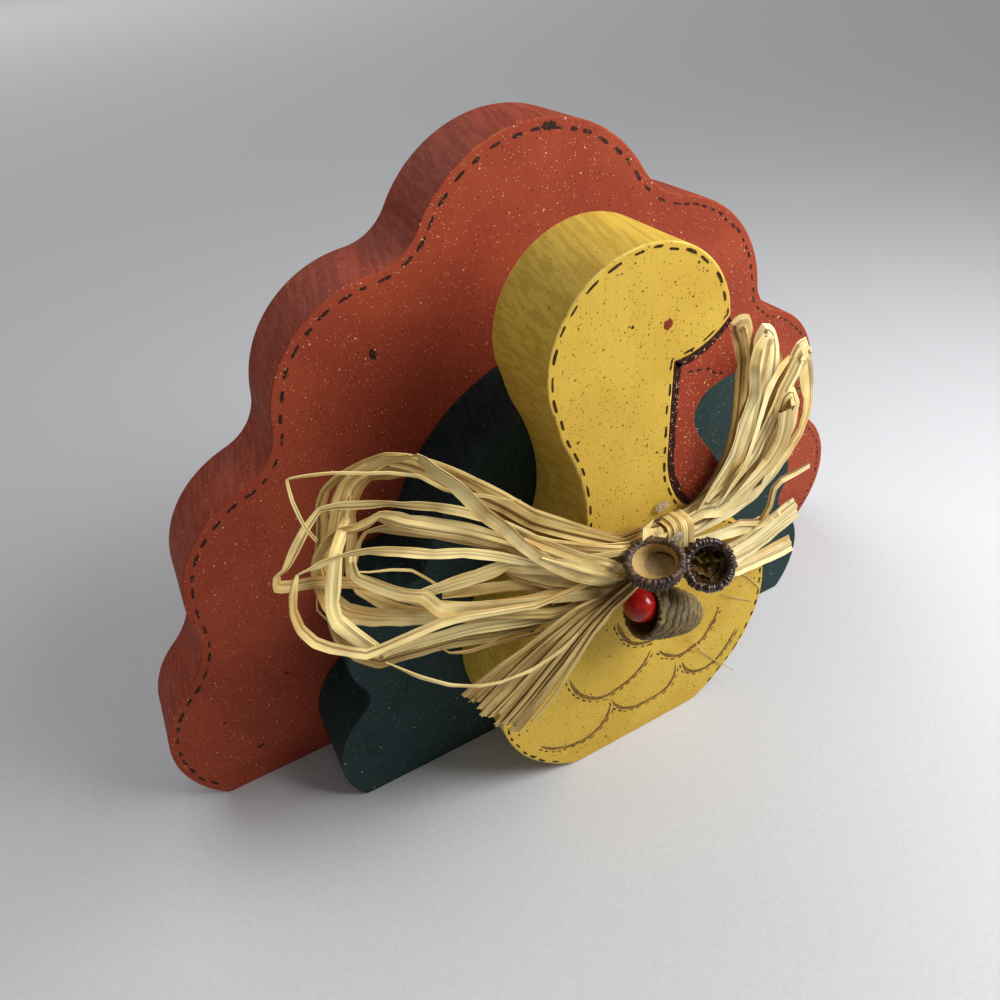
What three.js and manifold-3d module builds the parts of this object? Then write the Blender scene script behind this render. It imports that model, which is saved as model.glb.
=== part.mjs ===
// Thanksgiving turkey figure: three stacked sawn boards with a raffia bow, acorn caps and a berry.
// Millimetres, +Z up, the face looks along -Y. The origin lies on the table, in the middle of the wing board.
import * as THREE from 'three';
import { mergeVertices } from 'three/addons/utils/BufferGeometryUtils.js';
import Module from 'manifold-3d';

const wasm = await Module();
wasm.setup();

// Boards
const TAIL_T = 18.2;
const WING_T = 19;
const BODY_T = 19.6;
const GLUE_FILM = 0.3;
const ARRIS = 0.6;
const ARC_STEPS = 11;
const WELD_REACH = 1e-4;

// Width and height of the tail fan, and how far it reaches to the left of the middle
const FAN_W = 210.2;
const FAN_H = 143.8;
const FAN_LEFT = 107;

// Its scallops from left to right: middle of each lobe, its radius and the notch after it.
// The outer two end the width and stand on the table, which takes their cut off below; one ends the height.
const TAIL_LOBES = [
  { left: -FAN_LEFT, r: 28, cut: 9, notch: 22 },
  { x: -61, z: 60, r: 29, notch: 13 },
  { x: -33.3, z: 95, r: 28.3, notch: 13 },
  { x: 1.2, top: FAN_H, r: 30.8, notch: 18 },
  { x: 32, z: 90.6, r: 32.2, notch: 12 },
  { x: 62.8, z: 60.7, r: 26.6, notch: 20 },
  { right: FAN_W - FAN_LEFT, r: 29.2, cut: 7.7 },
].map(placed);

// Wing board: its size, and its lobes in the same order
const WING_W = 146;
const WING_H = 99.6;
const WING_LEFT = 71.9;
const WING_LOBES = [
  { left: -WING_LEFT, r: 22.9, cut: 10.6, notch: 6 },
  { x: -46.3, z: 46.3, r: 17, notch: 5 },
  { x: 6, top: WING_H, r: 50.6, notch: 5 },
  { x: 47.5, z: 46.5, r: 17.4, notch: 6 },
  { right: WING_W - WING_LEFT, r: 25.7, cut: 11.1 },
].map(placed);

// Body outline: breast, chin and head rounds, the back of the neck, and the throat beside the wattle.
// A bay lies between two places: share of the way, and how deep it is there.
const BODY_H = 138.9;
const BREAST = placed({ x: 1, r: 38, cut: 5 });
const CHIN = placed({ x: 5.8, top: BODY_H, r: 15.1 });
const HEAD_FROM_CHIN = [-7.5, -11.4];
const HEAD = { ...shifted(CHIN, HEAD_FROM_CHIN), r: 19.4 };
const SHOULDER_TURN = degrees(118.5);
const NECK_BAY = [[0.21, 3.4], [0.38, 4.5], [0.55, 4.2], [0.72, 2.8], [0.86, 1]];
const POLL_TURN = degrees(200);
const NECK_X = 5.4;
const THROAT_R = 24;

// Beak and wattle, fitted under the chin: brow and tip lie from the chin's corner,
// the wattle from its seat on the throat, and the mouth is a bay between tip and wattle
const FIT = 0.3;
const BEAK_RECESS = 0.4;
const BEAK_STEPS = 5;
const BEAK_BROW = [1.5, -6.7];
const BEAK_TIP = [4.4, -13.1];
const MOUTH_BAY = [[0.04, 3.6], [0.14, 7.9], [0.32, 9.7], [0.55, 7.9], [0.8, 3.4]];
const WATTLE_END = [[8.2, 7.5], [8, 4.3], [5.3, 1.5]];
const WATTLE_SEAT = degrees(223);

// Wood screws driven from behind
const SCREW_L = 30;
const SCREW_HEAD_R = 4;
const SCREW_HEAD_H = 2.6;
const SCREW_R = 2;
const SCREW_TIP = 5;
const SCREW_TIP_R = 0.5;
const SCREW_SINK = 0.8;
const SCREW_CROWN = 0.1;
const SCREW_SIDES = 20;
const DRIVE_W = 1;
const DRIVE_L = 4.4;
const DRIVE_D = 1.4;
const TAIL_SCREW_X = 36;
const TAIL_SCREW_Z = 24;
const BODY_SCREW_X = 15;
const BODY_SCREW_Z = 30;

// Knot of the bow: a band round the legs of the loops and the roots of the cut ends
const KNOT = { x: 5.5, z: 69.2 };
const KNOT_WIDTH = 2.4;
const LEG_GAP = 0.6;
const LEG_STEP = KNOT_WIDTH + LEG_GAP;
const BAND_W = 6.4;
const BAND_T = 0.5;
const BAND_EASE = 0.1;
const BAND_CORNER = 1.5;
const BAND_STEPS = 4;

// Raffia: flat strands in layers, tight in the knot and fanned out past it, before the breast
const STRAND_T = 0.25;
const STRAND_GAP = 0.3;
const STRAND_STEP = 4.4;
const KNOT_PITCH = STRAND_T + STRAND_GAP;
const FAN_SPREAD = 0.1;
const FAN_RUN = 17.5;
const FIRST_LIFT = 1.7;
const KNOT_BLEND = 32;
const REACH = 60;
const LEGS = {
  top: KNOT.z + LEG_STEP,
  low: KNOT.z,
  ends: KNOT.z - LEG_STEP,
  left: KNOT.x - STRAND_GAP,
  right: KNOT.x + STRAND_GAP,
};

// Left loops go out from the knot along the top and come back below
const LEFT_ROOT = [[LEGS.left, LEGS.top], [-7, 73.4]];
const LEFT_RETURN = [[-8, 69.6], [LEGS.left, LEGS.low]];
const LEFT_LOOPS = [
  { width: 4, sweep: -6, route: [[-13.5, 76], [-24, 85.5], [-40.5, 102], [-50.5, 106], [-59, 101],
    [-63.5, 89], [-61, 77.5], [-49, 73], [-35.5, 68], [-18.5, 62.5]] },
  { width: 3.4, sweep: -5.5, route: [[-14, 75], [-24.5, 83.5], [-40.5, 100], [-50.5, 105.5], [-58, 100],
    [-61.5, 86.5], [-54, 74], [-44, 69.5], [-32, 66], [-18, 62]] },
  { width: 5, sweep: -4, route: [[-14.5, 75], [-27.5, 83.5], [-44, 100], [-52.5, 106], [-58, 97.5],
    [-63.5, 85], [-64.5, 72], [-52.5, 65.5], [-40.5, 64], [-27.5, 62], [-16, 61]] },
  { width: 3.6, sweep: -2.5, route: [[-15.5, 74.5], [-28, 80.5], [-48.5, 93.5], [-58, 95], [-59.5, 85],
    [-45, 74.5], [-33, 69.5], [-19, 65]] },
  { width: 5.4, sweep: -1, route: [[-16, 75], [-28.5, 83.5], [-48, 98.5], [-59, 102.5], [-65.5, 91.5],
    [-56.5, 80], [-46, 73.5], [-32, 68], [-18, 64.5]] },
  { width: 2.6, sweep: 0.5, route: [[-16.5, 76.5], [-29, 88.5], [-46.5, 102.5], [-60, 109.5], [-66.5, 106],
    [-69, 98], [-54, 87.5], [-44, 80], [-32, 73], [-19, 67]] },
  { width: 3.6, sweep: 2, route: [[-17, 75.5], [-30, 83.5], [-51.5, 97], [-64, 103.5], [-71, 96], [-67, 85],
    [-51.5, 75.5], [-39.5, 70], [-26.5, 66], [-17, 65]] },
];

// Right loops are shorter and stand up beside the beak
const RIGHT_ROOT = [[LEGS.right, LEGS.top], [12.5, 73.4]];
const RIGHT_RETURN = [[12, 68.4], [LEGS.right, LEGS.low]];
const RIGHT_LOOPS = [
  { width: 3.2, sweep: -4.5, route: [[17, 76.5], [20.6, 83], [22.4, 95], [21.6, 106], [23.4, 110.5],
    [26.4, 108], [26, 96], [24, 85], [18, 72.5]] },
  { width: 3.4, sweep: -3, route: [[19, 78], [23, 88], [23.8, 102], [26, 108.5], [28.6, 104],
    [28.5, 92], [25.4, 80], [18.5, 71]] },
  { width: 4, sweep: -1.5, route: [[20, 77], [27, 85.5], [33, 97], [36.5, 103], [37.5, 98.5],
    [33, 88], [26.5, 79], [18.5, 70.5]] },
  { width: 3.6, sweep: 0.5, route: [[20, 76.5], [27, 83.5], [32.5, 96], [35.4, 99.5], [38.5, 91],
    [35, 80], [28, 73], [18, 70]] },
  { width: 5, sweep: 3, route: [[20, 76], [26, 82], [29, 91], [31.6, 94.5], [33.6, 88],
    [30.5, 78.5], [25, 73], [18, 69.6]] },
];

// Cut ends on the left rise before the loops and fan down over the breast
const LEFT_END_ROOT = [[LEGS.left, LEGS.ends], [-6, 66]];
const LEFT_ENDS = [
  { width: 5, route: [[-13.5, 65], [-20, 65], [-27.5, 62], [-37, 57.5], [-45.5, 52]] },
  { width: 5.4, route: [[-14, 65], [-20, 63.5], [-27.5, 59.5], [-36.5, 53], [-43.5, 47.5]] },
  { width: 5.4, route: [[-14.5, 64.5], [-20, 62], [-26.5, 56.5], [-34.5, 49], [-41.5, 43]] },
  { width: 4.6, route: [[-15, 64.5], [-19, 60.5], [-25, 54], [-32, 46], [-38, 39.5]] },
  { width: 1.6, route: [[-15.5, 63.5], [-17.5, 59], [-22, 53], [-28, 45.5], [-33.5, 40.5]] },
];
const LEFT_END_RISE = 6;
const LEFT_END_SWEEP = -2.5;

// Cut ends on the right, low against the breast and rising outward
const RIGHT_END_ROOT = [[LEGS.right, LEGS.ends], [9.6, 65.9]];
const RIGHT_ENDS = [
  { width: 3.8, route: [[20, 51], [28, 48], [35, 46.5], [40, 46.5], [43.5, 49]] },
  { width: 4.2, route: [[19, 54], [26.5, 52], [33.5, 52], [38.5, 54], [43.5, 58]] },
  { width: 4.6, route: [[18, 56.5], [24.5, 57], [31, 57.5], [37, 59], [41.5, 62]] },
  { width: 1.4, route: [[17.5, 59], [24.5, 60.5], [29.5, 61.5], [32.5, 65.5], [33, 70.5], [36, 72],
    [42.5, 73.5]] },
];
const RIGHT_END_RISE = -1.17;
const RIGHT_END_SWEEP = 4;

// Acorn caps: rim middle from the knot, or the way and the gap beside the first one,
// then rim radius, depth and the way the mouth looks
const CAP_WALL = 1.3;
const CAP_SEGMENTS = 34;
const CAP_ROWS = 5;
const RIM_RISE = 0.5;
const RIM_IN = 0.5;
const SCALES_ROUND = 17;
const SCALE_RISE = 0.32;
const SCALE_FOOT = 0.2;
const CAP_SEAT = 0.4;
const CUP_FROM_KNOT = [-11.5, 4.4];
const CUP_CAP = { ...shifted(KNOT, CUP_FROM_KNOT), r: 6.3, depth: 5.5, mouth: [-0.3, -0.4, 0.87] };
const DARK_CAP = beside(CUP_CAP, degrees(-26), 3.2, { r: 5.7, depth: 5.4, mouth: [-0.3, -0.75, 0.59] });
const LYING_CAP = beside(CUP_CAP, degrees(-82.5), 6.1, { r: 6.2, depth: 12.5, mouth: [-0.88, 0.1, 0.46] });

// Berry in the mouth of the lying cap
const BERRY_R = 3.6;
const BERRY_OUT = 1.3;
const BERRY_RISE = 1.6;

const BERRY_SIDES = 24;
const BERRY_RINGS = 14;

// Hot glue
const PAD_T = 0.35;
const PAD_W = 9;
const PAD_H = 7;
const PAD_CORNER = 2.3;
const NECK_DAB = { ...shifted(KNOT, [-1.2, 6.8]), w: 1.2, h: 0.9, rise: 0.8 };
const KNOT_DAB = { ...shifted(KNOT, [-1.9, 3]), w: 1.3, h: 1.2, rise: 0.7 };
const DAB_RINGS = 5;
const DAB_SIDES = 18;

const WING_BACK = WING_T / 2;
const WING_FRONT = -WING_T / 2;
const TAIL_BACK = WING_BACK + GLUE_FILM + TAIL_T;
const BODY_BACK = WING_FRONT - GLUE_FILM;
const BODY_FRONT = BODY_BACK - BODY_T;

function degrees(turn) {
  return turn * Math.PI / 180;
}

// A round given by its middle, or by its left, right or top edge;
// with a cut it stands on the table, its middle its radius less the cut above it
function placed(round) {
  const { left, right, top, cut: below, r } = round;
  const place = { x: round.x, z: round.z };
  if (left !== undefined) place.x = left + r;
  if (right !== undefined) place.x = right - r;
  if (top !== undefined) place.z = top - r;
  if (below !== undefined) place.z = r - below;
  return { ...round, ...place };
}

function shifted(place, [x, z]) {
  return { x: place.x + x, z: place.z + z };
}

// A cap beside another, rim to rim with a gap, in a given direction
function beside(other, turn, gap, cap) {
  const apart = other.r + cap.r + gap;
  return { ...cap, x: other.x + apart * Math.cos(turn), z: other.z + apart * Math.sin(turn) };
}

function paint(color, roughness, metalness = 0) {
  return new THREE.MeshStandardMaterial({ color, roughness, metalness });
}

const RED_PAINT = paint(0x9a4130, 0.75);
const GREEN_PAINT = paint(0x26393a, 0.75);
const YELLOW_PAINT = paint(0xd3b252, 0.7);
const STRAW = paint(0xdcc48a, 0.65);
const CAP_TAN = paint(0x6d5a43, 0.85);
const CAP_DARK = paint(0x2e2118, 0.35);
const CAP_TAUPE = paint(0x776650, 0.85);
const BERRY_RED = paint(0xb01a16, 0.2);
const CLEAR_GLUE = paint(0xe9e6da, 0.2);
const SCREW_STEEL = paint(0xb9b9b4, 0.35, 1);

// One welded, closed surface with its faces turned outward
function weld(geometry) {
  const bare = new THREE.BufferGeometry();
  bare.setAttribute('position', geometry.getAttribute('position').clone());
  if (geometry.index) bare.setIndex(geometry.index.clone());
  const merged = mergeVertices(bare, WELD_REACH);
  const index = merged.index.array;
  const kept = [];
  const a = new THREE.Vector3();
  const b = new THREE.Vector3();
  const c = new THREE.Vector3();
  const place = merged.getAttribute('position');
  let volume = 0;
  for (let i = 0; i < index.length; i += 3) {
    const [p, q, r] = [index[i], index[i + 1], index[i + 2]];
    if (p === q || q === r || r === p) continue;
    kept.push(p, q, r);
    a.fromBufferAttribute(place, p);
    b.fromBufferAttribute(place, q);
    c.fromBufferAttribute(place, r);
    volume += a.dot(b.cross(c));
  }
  if (volume < 0) {
    for (let i = 0; i < kept.length; i += 3) {
      [kept[i + 1], kept[i + 2]] = [kept[i + 2], kept[i + 1]];
    }
  }
  merged.setIndex(kept);
  return merged;
}

function toManifold(geometry) {
  const welded = weld(geometry);
  return new wasm.Manifold(new wasm.Mesh({
    numProp: 3,
    vertProperties: new Float32Array(welded.getAttribute('position').array),
    triVerts: new Uint32Array(welded.index.array),
  }));
}

function fromManifold(solid) {
  const mesh = solid.getMesh();
  const geometry = new THREE.BufferGeometry();
  geometry.setAttribute('position', new THREE.BufferAttribute(new Float32Array(mesh.vertProperties), 3));
  geometry.setIndex(Array.from(mesh.triVerts));
  return geometry;
}

function cut(geometry, tools) {
  let solid = toManifold(geometry);
  for (const tool of tools) solid = solid.subtract(toManifold(tool));
  return fromManifold(solid);
}

const group = new THREE.Group();
group.name = 'thanksgiving_turkey';

function addPart(name, geometry, material) {
  const welded = weld(geometry);
  welded.computeVertexNormals();
  const mesh = new THREE.Mesh(welded, material.clone());
  mesh.name = name;
  group.add(mesh);
}

// Where two circles meet, on the left of the way from the first to the second (side 1) or the right (-1)
function meet(one, r1, two, r2, side) {
  const dx = two.x - one.x;
  const dz = two.z - one.z;
  const d = Math.hypot(dx, dz);
  const along = (r1 * r1 - r2 * r2 + d * d) / (2 * d);
  const off = Math.sqrt(r1 * r1 - along * along) * side;
  return {
    x: one.x + (along * dx - off * dz) / d,
    z: one.z + (along * dz + off * dx) / d,
  };
}

const angle = (from, to) => Math.atan2(to.z - from.z, to.x - from.x);
const baseLeft = (c) => ({ x: c.x - Math.sqrt(c.r * c.r - c.z * c.z), z: 0 });
const baseRight = (c) => ({ x: c.x + Math.sqrt(c.r * c.r - c.z * c.z), z: 0 });

// Outline of lobes that stand on the table, with a rounded notch between each two
function scalloped(lobes) {
  const first = lobes[0];
  const last = lobes[lobes.length - 1];
  const start = baseLeft(first);
  const shape = new THREE.Shape();
  shape.moveTo(start.x, start.z);
  let from = angle(first, start);
  lobes.forEach((lobe, i) => {
    if (lobe === last) {
      shape.absarc(lobe.x, lobe.z, lobe.r, from, angle(lobe, baseRight(lobe)), true);
      return;
    }
    const next = lobes[i + 1];
    const hollow = meet(lobe, lobe.r + lobe.notch, next, next.r + lobe.notch, 1);
    shape.absarc(lobe.x, lobe.z, lobe.r, from, angle(lobe, hollow), true);
    shape.absarc(hollow.x, hollow.z, lobe.notch, angle(hollow, lobe), angle(hollow, next), false);
    from = angle(next, hollow);
  });
  shape.closePath();
  return shape;
}

// A flat piece of board: outline in x and z, sanded arrises, front towards -Y
function board(shape, thickness, back, arris, steps) {
  const geometry = new THREE.ExtrudeGeometry(shape, {
    depth: thickness - 2 * arris,
    bevelEnabled: arris > 0,
    bevelThickness: arris,
    bevelSize: arris,
    bevelOffset: -arris,
    bevelSegments: 1,
    curveSegments: steps,
  });
  geometry.translate(0, 0, arris);
  geometry.rotateX(Math.PI / 2);
  geometry.translate(0, back, 0);
  return geometry;
}

// Middle of the throat's round: it touches the neck line and the breast
const throatReach = BREAST.r + THROAT_R;
const THROAT = { x: NECK_X + THROAT_R, z: 0 };
THROAT.z = BREAST.z + Math.sqrt(throatReach ** 2 - (THROAT.x - BREAST.x) ** 2);
const chinCorner = meet(HEAD, HEAD.r, CHIN, CHIN.r, -1);
const neckTop = CHIN.z - Math.sqrt(CHIN.r ** 2 - (NECK_X - CHIN.x) ** 2);

const onRound = (round, turn) => ({
  x: round.x + round.r * Math.cos(turn),
  z: round.z + round.r * Math.sin(turn),
});
const flat = ({ x, z }) => new THREE.Vector2(x, z);

// Points of a bay to the right of the straight way between two places
function bay(from, to, points) {
  const dx = to.x - from.x;
  const dz = to.z - from.z;
  const d = Math.hypot(dx, dz);
  return points.map(([share, deep]) => ({
    x: from.x + share * dx + deep * dz / d,
    z: from.z + share * dz - deep * dx / d,
  }));
}


function bodyOutline() {
  const start = baseLeft(BREAST);
  const shoulder = onRound(BREAST, SHOULDER_TURN);
  const poll = onRound(HEAD, POLL_TURN);
  const chin = angle(CHIN, { x: NECK_X, z: neckTop });
  const shape = new THREE.Shape();
  shape.moveTo(start.x, start.z);
  shape.absarc(BREAST.x, BREAST.z, BREAST.r, angle(BREAST, start), SHOULDER_TURN, true);
  shape.splineThru([...bay(shoulder, poll, NECK_BAY), poll].map(flat));
  shape.absarc(HEAD.x, HEAD.z, HEAD.r, POLL_TURN, angle(HEAD, chinCorner), true);
  shape.absarc(CHIN.x, CHIN.z, CHIN.r, angle(CHIN, chinCorner), chin, true);
  shape.lineTo(NECK_X, THROAT.z);
  shape.absarc(THROAT.x, THROAT.z, THROAT_R, Math.PI, angle(THROAT, BREAST) + 2 * Math.PI, false);
  shape.absarc(BREAST.x, BREAST.z, BREAST.r, angle(BREAST, THROAT), angle(BREAST, baseRight(BREAST)), true);
  shape.closePath();
  return shape;
}

function beakOutline() {
  const chinR = CHIN.r + FIT;
  const brow = angle(CHIN, chinCorner);
  const side = NECK_X + FIT;
  const sideTop = CHIN.z - Math.sqrt(chinR ** 2 - (side - CHIN.x) ** 2);
  const seatR = THROAT_R - FIT;
  const seat = onRound({ ...THROAT, r: seatR }, WATTLE_SEAT);
  const tip = shifted(chinCorner, BEAK_TIP);
  const bend = shifted(chinCorner, BEAK_BROW);
  const [wattle, ...lobe] = WATTLE_END.map((p) => shifted(seat, p));
  const mouth = bay(tip, wattle, MOUTH_BAY);
  const shape = new THREE.Shape();
  shape.moveTo(side, sideTop);
  shape.absarc(CHIN.x, CHIN.z, chinR, angle(CHIN, { x: side, z: sideTop }), brow, false);
  shape.quadraticCurveTo(bend.x, bend.z, tip.x, tip.z);
  shape.splineThru([...mouth, wattle].map(flat));
  shape.splineThru([...lobe, seat].map(flat));
  shape.absarc(THROAT.x, THROAT.z, seatR, WATTLE_SEAT, Math.PI, true);
  shape.closePath();
  return shape;
}

// A turned solid: profile as radius and height, axis along +Y before it is placed
function turned(profile, segments) {
  return new THREE.LatheGeometry(profile.map(([r, h]) => new THREE.Vector2(r, h)), segments);
}

// Countersunk screw whose head lies at y = 0 and whose tip points along -Y
function screwBlank() {
  return turned([
    [0, -SCREW_L],
    [SCREW_TIP_R, -SCREW_L],
    [SCREW_R, SCREW_TIP - SCREW_L],
    [SCREW_R, -SCREW_HEAD_H],
    [SCREW_HEAD_R, 0],
    [SCREW_HEAD_R, SCREW_CROWN],
    [0, SCREW_CROWN],
  ], SCREW_SIDES);
}

// The screw's hole: wider by the fit all round and open at the back
function screwHole() {
  const open = SCREW_SINK + SCREW_HEAD_H;
  return turned([
    [0, -SCREW_L - FIT],
    [SCREW_TIP_R + FIT, -SCREW_L - FIT],
    [SCREW_R + FIT, SCREW_TIP - SCREW_L],
    [SCREW_R + FIT, -SCREW_HEAD_H],
    [SCREW_HEAD_R + FIT, -FIT],
    [SCREW_HEAD_R + FIT, open],
    [0, open],
  ], SCREW_SIDES);
}

function screw() {
  const slot = new THREE.BoxGeometry(DRIVE_L, DRIVE_D * 2, DRIVE_W);
  const cross = new THREE.BoxGeometry(DRIVE_W, DRIVE_D * 2, DRIVE_L);
  return cut(screwBlank(), [slot, cross]);
}

const tailScrews = [-TAIL_SCREW_X, TAIL_SCREW_X].map((x) => [x, TAIL_BACK - SCREW_SINK, TAIL_SCREW_Z]);
const bodyScrews = [-BODY_SCREW_X, BODY_SCREW_X].map((x) => [x, WING_BACK - SCREW_SINK, BODY_SCREW_Z]);
const holes = (places) => places.map((place) => screwHole().translate(...place));
const tailBlank = board(scalloped(TAIL_LOBES), TAIL_T, TAIL_BACK, ARRIS, ARC_STEPS);
const wingBlank = board(scalloped(WING_LOBES), WING_T, WING_BACK, ARRIS, ARC_STEPS);
const bodyBlank = board(bodyOutline(), BODY_T, BODY_BACK, ARRIS, ARC_STEPS);
const beakBlank = board(beakOutline(), BODY_T - BEAK_RECESS, BODY_BACK, 0, BEAK_STEPS);

addPart('tail_fan_board', cut(tailBlank, holes(tailScrews)), RED_PAINT);
addPart('wing_board', cut(wingBlank, holes([...tailScrews, ...bodyScrews])), GREEN_PAINT);
addPart('body_board', cut(bodyBlank, holes(bodyScrews)), YELLOW_PAINT);
addPart('beak_wattle', beakBlank, RED_PAINT);
tailScrews.forEach((place, i) => {
  addPart(`tail_screw_${i + 1}`, screw().translate(...place), SCREW_STEEL);
});
bodyScrews.forEach((place, i) => {
  addPart(`body_screw_${i + 1}`, screw().translate(...place), SCREW_STEEL);
});

// Distance before the breast of a strand's middle at a place in x and z
function liftAt(lie, x, z) {
  const away = Math.hypot(x - KNOT.x, z - KNOT.z);
  const open = THREE.MathUtils.smoothstep(away, BAND_W / 2, FAN_RUN);
  const pitch = KNOT_PITCH + FAN_SPREAD * open;
  return FIRST_LIFT + pitch * lie.layer + lie.rise * open + lie.sweep * (away / REACH) ** 2;
}

const spot = (x, lift, z) => new THREE.Vector3(x, BODY_FRONT - lift, z);

// Flat strand: a straight strip, laid along a route with its width across the view from the front;
// it narrows where it runs into the knot
function strand(route, lie, width, rootEnds) {
  const points = route.map(([x, z]) => spot(x, liftAt(lie, x, z), z));
  const curve = new THREE.CatmullRomCurve3(points, false, 'centripetal');
  const length = curve.getLength();
  const steps = Math.ceil(length / STRAND_STEP);
  const section = new THREE.Shape([[-1, -1], [1, -1], [1, 1], [-1, 1]].map((p) => new THREE.Vector2(...p)));
  const strip = new THREE.ExtrudeGeometry(section, { steps, depth: 1, bevelEnabled: false });
  const place = strip.getAttribute('position');
  const root = Math.min(1, KNOT_WIDTH / width);
  for (let i = 0; i < place.count; i += 1) {
    const along = place.getZ(i);
    const middle = curve.getPointAt(along);
    const way = curve.getTangentAt(along);
    const run = Math.hypot(way.x, way.z);
    const fromRoot = length * (rootEnds === 2 ? Math.min(along, 1 - along) : along);
    const full = THREE.MathUtils.smoothstep(fromRoot, 0, KNOT_BLEND);
    const out = place.getX(i) * (root + (1 - root) * full) * width / 2;
    const before = place.getY(i) * STRAND_T / 2;
    place.setXYZ(i, middle.x - out * way.z / run, middle.y + before, middle.z + out * way.x / run);
  }
  return strip;
}

// One strand a piece; a loop has both its ends in the knot, a cut end only one
function addStrands(name, strands, lies, root, back) {
  strands.forEach(({ width, sweep, route }, layer) => {
    const lie = { sweep, rise: 0, ...lies, layer };
    const rootEnds = back.length > 0 ? 2 : 1;
    addPart(`${name}_${layer + 1}`, strand([...root, ...route, ...back], lie, width, rootEnds), STRAW);
  });
}

addStrands('raffia_loop_left', LEFT_LOOPS, {}, LEFT_ROOT, LEFT_RETURN);
addStrands('raffia_loop_right', RIGHT_LOOPS, {}, RIGHT_ROOT, RIGHT_RETURN);
const leftEndLie = { sweep: LEFT_END_SWEEP, rise: LEFT_END_RISE };
const rightEndLie = { sweep: RIGHT_END_SWEEP, rise: RIGHT_END_RISE };
addStrands('raffia_tail_left', LEFT_ENDS, leftEndLie, LEFT_END_ROOT, []);
addStrands('raffia_tail_right', RIGHT_ENDS, rightEndLie, RIGHT_END_ROOT, []);

// Rectangle with round corners, as a shape or as a hole's path
function roundRect(path, x0, z0, x1, z1, r) {
  path.moveTo(x0 + r, z0);
  path.absarc(x1 - r, z0 + r, r, -Math.PI / 2, 0, false);
  path.absarc(x1 - r, z1 - r, r, 0, Math.PI / 2, false);
  path.absarc(x0 + r, z1 - r, r, Math.PI / 2, Math.PI, false);
  path.absarc(x0 + r, z0 + r, r, Math.PI, Math.PI * 1.5, false);
  return path;
}

const bandClear = STRAND_T / 2 + STRAND_GAP + BAND_EASE;
const mostLayers = Math.max(LEFT_LOOPS.length, RIGHT_LOOPS.length);
const bandLow = FIRST_LIFT - bandClear;
const bandHigh = FIRST_LIFT + KNOT_PITCH * (mostLayers - 1) + bandClear;
const bandFront = bandHigh + BAND_T;
const bandTop = LEGS.top + KNOT_WIDTH / 2 + bandClear;
const bandBottom = LEGS.ends - KNOT_WIDTH / 2 - bandClear;

function knotBand() {
  const shape = roundRect(new THREE.Shape(), bandLow - BAND_T, bandBottom - BAND_T, bandFront,
    bandTop + BAND_T, BAND_CORNER);
  const inside = new THREE.Path();
  shape.holes.push(roundRect(inside, bandLow, bandBottom, bandHigh, bandTop, BAND_CORNER - BAND_T));
  const band = new THREE.ExtrudeGeometry(shape, {
    depth: BAND_W,
    bevelEnabled: false,
    curveSegments: BAND_STEPS,
  });
  const forward = new THREE.Vector3(0, -1, 0);
  const upward = new THREE.Vector3(0, 0, 1);
  const leftward = new THREE.Vector3(-1, 0, 0);
  band.applyMatrix4(new THREE.Matrix4().makeBasis(forward, upward, leftward));
  return band.translate(KNOT.x + BAND_W / 2, BODY_FRONT, 0);
}

addPart('raffia_knot_band', knotBand(), STRAW);

// Acorn cap: a cup with rows of scales outside; its rim middle lies at the origin, its mouth looks along +Y
function acornCap(radius, depth) {
  const outer = [];
  const rows = CAP_ROWS * 2;
  for (let k = 1; k <= rows; k += 1) {
    const t = (k / rows) * Math.PI / 2;
    outer.push([radius * Math.sin(t), -depth * Math.cos(t)]);
  }
  const inner = [];
  for (let k = rows - 2; k >= 1; k -= 1) {
    const t = (k / rows) * Math.PI / 2;
    inner.push([(radius - CAP_WALL) * Math.sin(t), -(depth - CAP_WALL) * Math.cos(t)]);
  }
  const rim = [[radius - CAP_WALL * RIM_IN, RIM_RISE], [radius - CAP_WALL, 0]];
  const profile = [[0, -depth], ...outer, ...rim, ...inner, [0, CAP_WALL - depth]];
  const geometry = turned(profile, CAP_SEGMENTS);
  const place = geometry.getAttribute('position');
  for (let i = 0; i < place.count; i += 1) {
    const k = i % profile.length;
    if (k < 1 || k > outer.length) continue;
    const round = (Math.floor(i / profile.length) / CAP_SEGMENTS) * 2 * Math.PI;
    const phase = Math.floor(k / 2) % 2 === 0 ? 0 : Math.PI;
    const step = k % 2 === 0 ? 1 : SCALE_FOOT;
    const rise = SCALE_RISE * step * (1 + Math.cos(SCALES_ROUND * round + phase)) / 2;
    const grow = 1 - rise / radius;
    place.setXYZ(i, place.getX(i) * grow, place.getY(i) * grow, place.getZ(i) * grow);
  }
  return geometry;
}

function turnTo(geometry, mouth) {
  const way = new THREE.Vector3(...mouth).normalize();
  return geometry.applyQuaternion(new THREE.Quaternion().setFromUnitVectors(new THREE.Vector3(0, 1, 0), way));
}

// How far a cap's dome reaches back from its rim middle, towards the boards
function capReach(cap) {
  const way = new THREE.Vector3(...cap.mouth).normalize();
  const front = -way.y;
  return Math.hypot(cap.depth * front, cap.r * Math.sqrt(1 - front * front));
}

function placedCap(cap, seatLift) {
  const lift = seatLift + CAP_SEAT + capReach(cap);
  const geometry = turnTo(acornCap(cap.r, cap.depth), cap.mouth);
  return { lift, geometry: geometry.translate(cap.x, BODY_FRONT - lift, cap.z) };
}

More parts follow.
